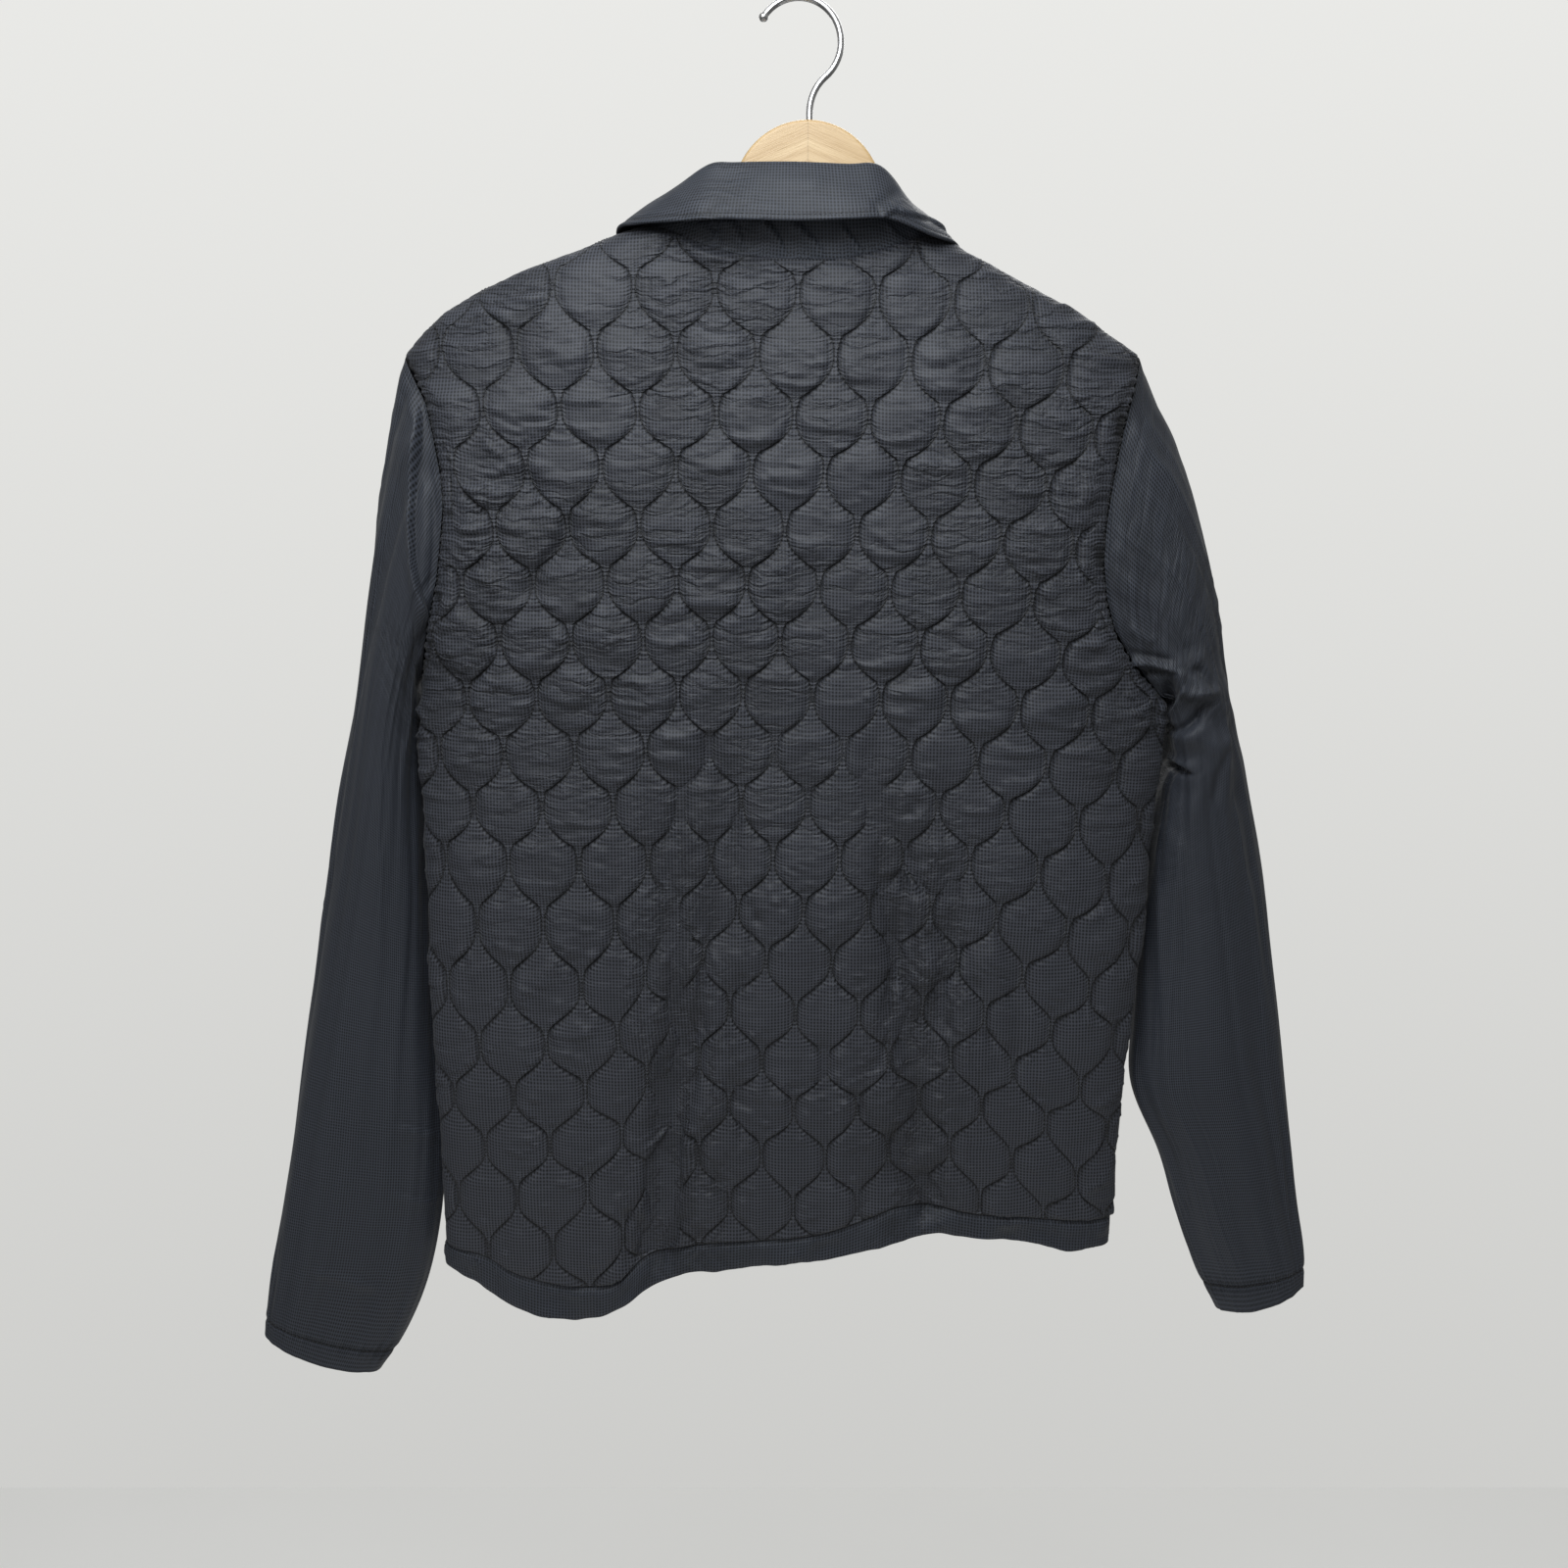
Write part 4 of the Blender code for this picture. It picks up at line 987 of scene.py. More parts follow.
    def cell(self, at: dict[str, Array]) -> tuple[Array, Array]:
        """Share of the way across its cell, and the cell's width in strips, at each point."""
        number, q = np.floor(at["place"]), self.quilting
        return at["place"] - number, q.line(number + 1, at["row"]) - q.line(number, at["row"])

    def seam_distance(self, at: dict[str, Array]) -> Array:
        """How near the stitching is.

        Args:
            at: the points' values by name.

        Returns:
            Distance to the nearest stitch line, square to it.
        """
        q, row = self.quilting, at["row"]
        share, width = self.cell(at)
        strip, step = q.column(row, -1) / 2, 0.02
        lean = (q.wave(row + step) - q.wave(row - step)) / (2 * step) * q.reach * strip
        across = np.minimum(share, 1 - share) * width * strip / np.hypot(1, lean / q.spacing(row))
        edges = [np.abs(at[key] - inside) for key in ("from_left", "from_right")
                 for inside in self.stitch_rows]
        hole = np.minimum.reduce(edges) + np.where(at["z"] < RIGHT_SIDE.underarm + 10, FAR, 0)
        on_band = self.flatness(at) < 0.05
        return np.minimum.reduce([np.where(on_band, FAR, across), hole, at["from_left"],
                                  at["from_right"], at["z"] - self.half.hem(at["x"])])

    def puff(self, at: dict[str, Array]) -> Array:
        """Fullness of the cells, 0 at the stitch lines and 1 in the middle of the widest ones."""
        share, width = self.cell(at)
        width = width / (1 + 2 * self.quilting.reach)
        return (1 - np.abs(2 * share - 1) ** 3.2) ** 0.55 * np.maximum(width, 0) ** 0.7

    def relief(self, at: dict[str, Array]) -> Array:
        """How far the cloth stands off the smooth surface.

        Args:
            at: the points' values by name.

        Returns:
            The cells, (1 - |2u - 1|^3.2)^0.55 across and width^0.7 along, with wrinkles, and
            on the band ridges like a ladder's rungs.
        """
        x, z, along, high = at["x"], at["z"], at["along"], self.wrinkles
        cell, keep = self.puff(at), self.flatness(at)
        uneven = 1 + 0.2 * noise(along / 26, at["row"] * 0.9, self.seed, 1)
        inset = np.minimum(at["from_left"], at["from_right"])
        upper, lower = ramp((z + 580) / 200), ramp((-440 - z) / 120)
        drag = leaning(along / 27, z / 7.4, self.seed + 3) * (0.1 + 0.9 * upper)
        upright = creases(along / 8.5, z / 46, self.seed + 9) * lower
        slant = creases((along + 0.6 * z) / 30, (z - 0.6 * along) / 11, self.seed + 14)
        crumple = creases((along + 0.5 * z) / 11, (z - 0.5 * along) / 7, self.seed + 17)
        near = (ramp((inset - 9) / 6) * ramp((80 - inset) / 45) * ramp((z + 480) / 60)
                * ramp((-215 - z) / 30))
        folds = (high.drag * drag + high.upright * upright + high.slant * slant * (1 - 0.4 * upper)
                 + high.crumple * crumple * near)
        swell = high.swell * noise(x / 70, z / 90, self.seed + 21, 2)
        placed = high.placed * strokes(x, z, self.strokes)
        rows = sum(bell(inset - inside, 0.9) for inside in self.stitch_rows)
        rung = np.abs(np.sin(z * 0.62 + 1.5 * noise(x / 12, z / 12, self.seed + 8, 1)))
        where = ramp((z - RIGHT_SIDE.underarm) / 10) * ramp((RIGHT_SIDE.tip - z) / 8) * ramp(inset / 1.5)
        ladder = (high.rung * rung - 0.8 * rows) * (1 - keep) * where * ramp((15 - inset) / 4)
        loft = self.quilting.loft * (1 - 0.3 * ramp((-520 - z) / 120))
        return keep * (loft * cell * uneven + folds * cell ** 0.6 + placed + swell) + ladder

    def station(self, place: Array, number: float, rows: Array, trace: Trace) -> dict[str, Array]:
        """Values by name of the points at the given lengths along the cloth."""
        x = read_rows(trace.along, trace.x, place[:, None])[:, 0]
        return {"x": x, "z": self.quilting.height(rows, x), "along": place, "row": rows,
                "place": np.full(len(rows), number), "from_left": place - trace.along[:, 0],
                "from_right": trace.along[:, -1] - place}

    def lifted(self, at: dict[str, Array]) -> tuple[Array, Array]:
        """Places stitches on the raised cloth.

        Args:
            at: the points' values by name.

        Returns:
            The points and the cloth's outward direction there.
        """
        step = 0.6
        x, z = at["x"], at["z"]
        here, right, up = (self.place(x + dx, z + dz, self.half)
                           for dx, dz in ((0, 0), (step, 0), (0, step)))
        normal = unit(np.cross(right - here, up - here)) * -self.half.face.value
        return here + normal * self.relief(at)[:, None], normal

    def stitching(self) -> Shell:
        """The quilting's stitches and the two rows along each armhole."""
        q = self.quilting
        rows = np.linspace(q.first, q.first + len(q.rows) - 1, (len(q.rows) - 1) * 30 + 1)
        trace = self.trace(rows, self.half)
        lines = []
        for number in range(*self.strips):
            place = (q.line(np.full(len(rows), number), rows) - 0.5) * q.column(rows, -1) / 2
            at = self.station(place + q.drift(place, rows, self.half.face), float(number), rows, trace)
            sewn_down = (self.flatness(at) > 0.04) & (at["from_left"] > 2) & (at["from_right"] > 2)
            lines.append((at, sewn_down))
        for side, limit, end in ((LEFT_SIDE, self.left_x, 0), (RIGHT_SIDE, self.right_x, -1)):
            for inside in self.stitch_rows if abs(limit) > NO_LIMIT else ():
                at = self.station(trace.along[:, end] + (1 + 2 * end) * inside, 0.0, rows, trace)
                lines.append((at, (at["z"] > side.underarm + 4) & (at["z"] < side.tip - 5)))
        return joined([sewn(*self.lifted({key: value[good] for key, value in at.items()}))
                       for at, good in lines if good.sum() > 4])

    def build(self, finish: Finish, thread: Finish) -> None:
        """Makes the panel, as cloth pushed out along its normals, and its stitching.

        Args:
            finish: the cloth.
            thread: the sewing thread.
        """
        under = replace(self.half, inset=self.thick)
        outer, inner = self.surface(self.half, self.fine), self.surface(under, self.coarse)
        at, below = self.settle(outer, self.half), self.settle(inner, under)
        points = self.place(at["x"], at["z"], self.half)
        normal = point_normals(points, outer.faces) * -self.half.face.value
        normal *= np.sign(np.sum(normal[:, 1] * self.half.face.value))
        points = points + normal * self.relief(at)[:, None]
        points[:, 2] -= self.sag * self.puff(at) * self.flatness(at)
        shift, inside = len(points), len(below["x"])
        faces = [outer.faces, inner.faces[:, ::-1] + shift]
        for flag, key, order in (("at_hem", "x", 1), ("at_right", "z", 1),
                                 ("at_neck", "x", -1), ("at_left", "z", -1)):
            runs = []
            for values in (at, below):
                on = np.flatnonzero(values[flag] > AT_EDGE)
                on = on[np.argsort(values[key][on] * order)]
                reach = values[key][on]
                runs.append((on, (reach - reach[0]) / (reach[-1] - reach[0])))
            (out, out_at), (inn, inn_at) = runs
            faces.append(zip_runs(out, inn + shift, out_at, inn_at))
        flat = stacked(*(np.concatenate([at[key], below[key]]) for key in ("along", "z")))
        seam = self.seam_distance(at)
        marks = {"seam": np.append(seam, np.full(inside, FAR)),
                 "pucker": np.append(np.exp(-seam / 1.8), np.zeros(inside))}
        shell = Shell(np.concatenate([points, self.place(below["x"], below["z"], under)]),
                      np.concatenate(faces), flat, None, marks)
        made = shell.make(self.name, finish)
        stitches = self.stitching().make(f"{self.name}_stitches", thread, False)


# ---- Tables of the pieces
SNAP_LEVELS = (-238, -340, -442, -544, -646, -736)
SLEEVE_LEFT: Rows = (
    (-245, -232, -238, -403, 33, 1), (-251, -260, -239, -409, 34, 4), (-258, -295, -239, -419, 36, 7),
    (-264, -330, -239, -433, 37, 10), (-271, -365, -239, -450, 38, 13), (-278, -402, -239, -472, 37, 15),
    (-287, -448, -238, -500, 36, 16), (-297, -500, -237, -538, 34, 17), (-308, -555, -237, -583, 31, 17),
    (-319, -615, -237, -634, 28, 16), (-330, -675, -235, -690, 25, 14), (-340, -732, -237, -744, 21, 12),
    (-350, -788, -246, -794, 17, 10), (-355, -818, -262, -836, 14, 9), (-358, -841, -281, -866, 12, 8))
SLEEVE_RIGHT: Rows = (
    (216, -228, 236, -421, 33, 1), (229, -250, 240, -427, 34, 4), (241, -280, 242, -435, 36, 7),
    (252, -313, 241, -445, 37, 10), (262, -350, 238, -457, 38, 13), (271, -402, 233, -475, 37, 15),
    (284, -450, 228, -501, 36, 16), (295, -500, 224, -537, 34, 17), (304, -550, 222, -578, 31, 17),
    (312, -605, 220, -625, 28, 16), (319, -660, 220, -668, 25, 14), (326, -708, 239, -713, 21, 12),
    (332, -752, 253, -758, 17, 10), (338, -785, 266, -792, 14, 9), (339, -805, 281, -822, 12, 8))
ARM_FOLDS: Rows = (
    (247, -405, 0.80, -0.60, 26, 8, 5.0), (240, -432, 0.92, -0.40, 22, 7, 4.0),
    (258, -440, 0.45, -0.89, 24, 8, 3.5))
BACK_FOLDS: Rows = (
    (-66, -498, -68, -520, -1.6, 2.6), (-36, -480, -38, -516, -1.6, 2.8), (-67, -550, -76, -592, -2.6, 3.6),
    (-59, -575, -57, -613, -1.8, 2.6), (-63, -553, -72, -591, 1.6, 3), (-68, -619, -76, -656, -2.6, 3.6),
    (-87, -624, -90, -656, -1.6, 3), (-76, -679, -77, -722, -3, 4.2), (-69, -680, -70, -716, 1.8, 3.2),
    (-65, -648, -67, -680, -1.4, 2.6), (-98, -701, -78, -680, 1.8, 3), (-38, -693, -39, -648, -1.2, 2.6),
    (-31, -531, -23, -546, -1.4, 2.6), (-96, -768, -108, -736, -1.8, 3.2), (-95, -770, -78, -753, -1.8, 3),
    (-84, -762, -71, -739, -1.6, 3), (-46, -700, -49, -736, -1.2, 3), (64, -515, 67, -554, -2.6, 3),
    (69, -517, 72, -552, 1.6, 2.6), (60, -577, 58, -615, -2.6, 2.2), (63, -578, 62, -613, 1.4, 2.4),
    (68, -501, 80, -530, -2.2, 4), (72, -554, 70, -578, -1.6, 2.6), (81, -552, 86, -571, -1.6, 2.4),
    (90, -584, 95, -617, -2.4, 3), (96, -521, 101, -554, -1.8, 3), (46, -643, 56, -621, -1.4, 3),
    (56, -468, 59, -493, -2, 3), (66, -478, 76, -468, -1.6, 2.6), (104, -559, 113, -591, -1.6, 3.2),
    (119, -616, 122, -645, -1.4, 3), (36, -656, 53, -683, -1.4, 2.6), (78, -712, 94, -729, -1.6, 3),
    (89, -700, 90, -729, -1.6, 2.6), (72, -709, 84, -693, 1.2, 3), (-142, -298, -158, -329, 1.6, 5, 1),
    (-192, -284, -173, -267, 2, 5, 1), (-52, -430, -75, -492, -1.6, 7), (-75, -492, -81, -530, -2.2, 7),
    (-81, -530, -76, -584, -2.4, 7), (-76, -584, -70, -620, -2.4, 7), (-70, -620, -86, -690, -2.4, 7),
    (-86, -690, -102, -775, -2.4, 8), (44, -430, 52, -492, -2, 7), (52, -492, 62, -570, -2.4, 7),
    (62, -570, 68, -640, -2.2, 7), (92, -505, 88, -560, -2.2, 6), (88, -560, 84, -620, -1.8, 6),
    (-20, -520, -34, -600, -1.2, 6), (130, -560, 138, -640, -1.2, 7), (10, -560, 14, -660, -1, 6))
LEFT_ARM_FOLDS: Rows = (
    (-230, -206, -227, -267, 5, 9, 1), (-226, -250, -225, -366, 6, 10, 1), (-217, -284, -222, -342, -2, 4),
    (-259, -690, -230, -703, 1.5, 4, 1), (-264, -736, -234, -746, 1.2, 4, 1),
    (-320, -790, -276, -803, 1, 4))
RIGHT_ARM_FOLDS: Rows = (
    (239, -381, 227, -319, 2.2, 14), (255, -410, 239, -381, 3.5, 9), (227, -319, 215, -267, 1.2, 15),
    (232, -392, 200, -386, 4.5, 5, 1), (200, -381, 228, -386, -2.6, 2.4), (208, -395, 227, -395, -3, 2),
    (232, -392, 236, -406, 4, 3), (232, -431, 236, -402, 5, 6, 1), (227, -398, 228, -434, -6, 3.2),
    (238, -407, 250, -405, 3.2, 3.4), (252, -408, 237, -431, -5, 3), (245, -455, 226, -440, 4.2, 5, 1),
    (229, -448, 243, -457, -4.5, 3), (248, -424, 237, -445, 2.4, 5), (241, -390, 251, -404, -3.2, 3.4),
    (255, -410, 264, -440, 2.2, 3), (263, -396, 269, -476, 2, 3.6), (264, -440, 259, -476, -1.6, 3),
    (265, -410, 280, -479, -2, 4.5), (272, -463, 289, -530, -1.8, 6), (258, -440, 232, -530, 3, 9),
    (232, -530, 215, -607, 3, 9), (244, -463, 239, -500, -2, 5), (234, -463, 234, -500, 1.4, 3),
    (201, -366, 216, -375, 1.6, 3))


# ---- Hem bands
@dataclass
class HemBand:
    """The plain band below a panel's hem stitching.

    Attributes:
        name: name of the piece and of its CAD node.
        panel: the panel that it finishes.
        flat: width and length of the cut, in metres; not used.
        thick: the band's thickness.
        under: how far it goes up behind the stitch line.
        pull: height of the puckers below the stitching.
        wave: height of the slow waves along it.
        stations: points along it.
        rows: points down it.
    """

    name: str
    panel: QuiltedPanel
    flat: tuple[float, float]
    thick: float = 2.2
    under: float = 1.3
    pull: float = 2.3
    wave: float = 1.4
    stations: int = 340
    rows: int = 10

    def build(self, finish: Finish) -> None:
        """Makes the band: a slightly full strip with puckers along its top.

        Args:
            finish: the cloth.
        """
        half = self.panel.half
        share = crowded(self.stations)
        down = np.linspace(0, 1, self.rows)[:, None]
        ends = np.full((self.rows, 2), half.hem_line[0][1])
        for _ in range(3):
            first = np.maximum(half.ends(ends[:, 0])[0], self.panel.left_x)[:, None]
            last = np.minimum(half.ends(ends[:, 1])[1], self.panel.right_x)[:, None]
            x = first + (last - first) * share
            top = half.hem(x) + self.under
            low = half.hem(x, 2) + 1.0 + 0.9 * noise(x / 17, 0 * x, 57, 2)
            z = top + (low - top) * down
            ends = z[:, [0, -1]]
        spine = self.panel.place(x, z, half)
        facing = grid_normals(spine, np.array((0, half.face.value, 0)))
        along = lengths(spine[0])
        below = top - self.under - z
        full = np.sin(math.pi * down) ** 0.6
        pull = creases(along / 4.5 + down, down * 1.6, 51) * np.exp(-down / 0.5)
        wave = noise(along / 21, down * 1.2, 53)
        rise = (self.pull * pull + self.wave * wave) * ramp((below - 0.5) / 3)
        sunk = self.thick / 2 + 1.9 * ramp(1 - (below + 0.2) / 3)
        spine = spine + facing * (rise - sunk)[..., None]
        thin = 0.55 + 0.45 * np.minimum(ramp(share * 60), ramp((1 - share) * 60))
        half_thick = np.maximum(self.thick / 2 * (0.62 + 0.5 * full) * thin, 0.4)
        shell = strip(spine, facing, half_thick, along, np.maximum(below, 0), 1.0, 3.5)
        made = shell.make(self.name, finish)


# ---- Sleeves
@dataclass
class Sleeve:
    """A sleeve as a tube with a wall and a turned cuff.

    Attributes:
        hand: which sleeve.
        side: the side of the body that it is sewn to.
        rings: outer x z, inner x z, half depth, middle y, from the armhole down.
        folds: bumps at the underarm: x, z, run x, run z, half length, half width, height.
        strokes: listed folds on the back side, for `strokes`.
        flat: width and length of the cut, in metres, and its area; not used.
        thick: thickness of the wall.
        ease: how far the upper arm swells towards the body.
        gap: between the first ring and the armhole.
        window: the first ring clears the armhole's edge this far up and down.
        cuff: how far the cuff's edge hangs below its ends.
        cuff_stitch: height of the cuff's stitching over its edge.
        around: points round the tube.
        down: points down it, outside and inside.
        girth_row: the outer ring whose girth the cloth coordinates take.
        soft: height of the long folds down the sleeve.
        crease: height of the sharper ones.
    """

    hand: Hand
    side: Side
    rings: Rows
    flat: tuple[float, float, float]
    folds: Rows = ()
    strokes: Rows = ()
    thick: float = 1.6
    ease: float = 2.0
    gap: float = 0.4
    window: float = 2.5
    cuff: float = 4.0
    cuff_stitch: float = 11.0
    around: int = 168
    down: tuple[int, int] = (430, 60)
    girth_row: int = 90
    soft: float = 1.6
    crease: float = 1.0
    seed: int = 71

    def knots(self, angle: Array) -> Array:
        """Rings of points: the first follows the armhole, the last is the cuff.

        Args:
            angle: places round the tube, 0 at the outer line and pi at the underarm.

        Returns:
            knots × angles × 3: tilted ellipses, over which the armhole's bow fades.
        """
        side, sign = self.side, self.hand.value
        middle, reach = (side.tip + side.underarm) / 2, (side.tip - side.underarm) / 2
        line = np.array(side.ridge[-1:] + side.seam, dtype=float)[::-1]
        z0 = middle + reach * np.cos(angle)
        near = [np.interp(z0 + shift, line[:, 1], line[:, 0])
                for shift in np.linspace(-self.window, self.window, 7)]
        clear = np.max(sign * np.array(near), axis=0) * sign
        share = (1 - np.cos(angle)) / 2
        tip_x = side.ridge[-1][0]
        chord = tip_x + (np.interp(side.underarm, line[:, 1], line[:, 0]) - tip_x) * share
        bow = np.interp(z0, line[:, 1], line[:, 0]) - chord
        grid = [stacked(clear + sign * self.gap, side.hole * np.sin(angle), z0)]
        for k, (ox, oz, ix, iz, deep, mid_y) in enumerate(self.rings):
            fade = max(0.0, 1 - (k + 1) / 6) ** 1.5
            drop = self.cuff * np.sin(angle) ** 2 if k == len(self.rings) - 1 else 0.0
            grid.append(stacked(ox + (ix - ox) * share + bow * fade, mid_y + deep * np.sin(angle),
                                oz + (iz - oz) * share - drop))
        return np.array(grid)

    def build(self, finish: Finish, thread: Finish) -> None:
        """Makes the sleeve: outer rings, a half circle round the cuff's edge and inner rings.

        Args:
            finish: the cloth.
            thread: the sewing thread, for the cuff's stitching.
        """
        turn = np.linspace(0, 2 * math.pi, self.around, endpoint=False)
        angle = math.pi + turn + 0.4 * (np.cos(turn) - 1)
        knots = self.knots(angle)
        at = np.linspace(0, len(knots) - 1, self.down[0])
        smooth_rings = through(knots, at)
        facing = grid_normals(smooth_rings, smooth_rings - smooth_rings.mean(axis=1, keepdims=True), True)
        facing[0, :, 0] = 0
        facing[:2] = unit(facing[:2])
        outer_line = np.argmin(np.abs(angle - 2 * math.pi))
        run = lengths(smooth_rings[:, outer_line])
        degrees = np.degrees(angle - math.pi)
        raised = self.relief(smooth_rings, run, degrees)
        outer = smooth_rings + facing * raised[..., None]
        pick = np.linspace(len(at) - 1, 0, self.down[1]).round().astype(int)
        base = smooth_rings + facing * np.minimum(raised, 0)[..., None]
        inner = base[pick] - facing[pick] * self.thick
        steps = np.arange(1, 6)
        turn = steps[:, None, None] * math.pi / 6
        mid, half = (outer[-1] + inner[0]) / 2, (outer[-1] - inner[0]) / 2
        away = unit(smooth_rings[-1] - smooth_rings[-3]) * np.linalg.norm(half, axis=1)[:, None]
        rings = np.concatenate([outer, mid + half * np.cos(turn) + away * np.sin(turn), inner])
        widest = smooth_rings[self.girth_row]
        girth = lengths(np.concatenate([widest, widest[:1]]))
        v = np.concatenate([run, run[-1] + steps, run[pick] + 3, [-3.0]])
        seam = np.full(rings.shape[:2], FAR)
        seam[:len(run)] = np.minimum(run, np.abs(run[-1] - run - self.cuff_stitch))[:, None]
        shell = loft(rings, stacked(girth, v[:, None]), True,
                     {"seam": seam, "pucker": np.exp(-seam / 3.0)})
        name = f"sleeve_{self.hand.name.lower()}"
        made = shell.make(name, finish)
        ring = np.searchsorted(run, run[-1] - self.cuff_stitch)
        closed = np.append(np.arange(self.around), 0)
        line, up = outer[ring][closed], facing[ring][closed]
        sewing = sewn(line + up * 0.1, up).make(f"{name}_stitches", thread, False)

    def relief(self, rings: Array, run: Array, degrees: Array) -> Array:
        """How far the cloth stands off the smooth tube.

        Args:
            rings: its points.
            run: length down the sleeve of each ring.
            degrees: place of each point round the tube, 0 at the underarm.

        Returns:
            Bumps at the underarm, the listed folds (weaker on the front), long soft
            folds down the sleeve and a stitched groove at the cuff.
        """
        total = np.zeros(rings.shape[:2])
        x, y, z = rings[..., 0], rings[..., 1], rings[..., 2]
        centre = (y.max(axis=1) + y.min(axis=1))[:, None] / 2
        for fold_x, fold_z, run_x, run_z, half_long, half_wide, high in self.folds:
            along = ((x - fold_x) * run_x + (z - fold_z) * run_z) / half_long
            across = ((x - fold_x) * run_z - (z - fold_z) * run_x) / half_wide
            total += high * np.exp(-along ** 2 - across ** 2) * (y < centre)
        down = run[:, None]
        turn = np.radians(degrees)
        u, v = 3.2 * np.cos(turn), 3.2 * np.sin(turn)
        drag = noise(down / 13, u * 0.8 + v * 0.5, self.seed + 5) * np.exp(-down / 60)
        total += self.soft * noise(u + down / 160, v + 3.0, self.seed, 2) + 0.5 * drag
        total += self.crease * creases(1.4 * u + down / 120, v * 1.4 + down / 300, self.seed + 2, 0.5, 0.35)
        total += strokes(x, z, self.strokes, 2.2) * ramp((centre - y) / 12)
        total += 0.5 * strokes(x, z + 24, self.strokes, 2.2) * ramp((y - centre) / 12)
        to_body = bell((degrees + 180) % 360 - 180, 40.0)
        total += self.ease * to_body * ramp((down - 20) / 60) * ramp((330 - down) / 160)
        above = run[-1] - down - self.cuff_stitch
        ripple = np.sin(degrees * 1.9 + 4 * noise(degrees / 20, down / 20, self.seed, 1))
        total *= 0.35 + 0.65 * ramp((above + self.cuff_stitch) / 40)
        total += 0.4 * ripple * bell(above, 6) - 0.7 * bell(above, 1.6)
        return total * ramp(down / 14)


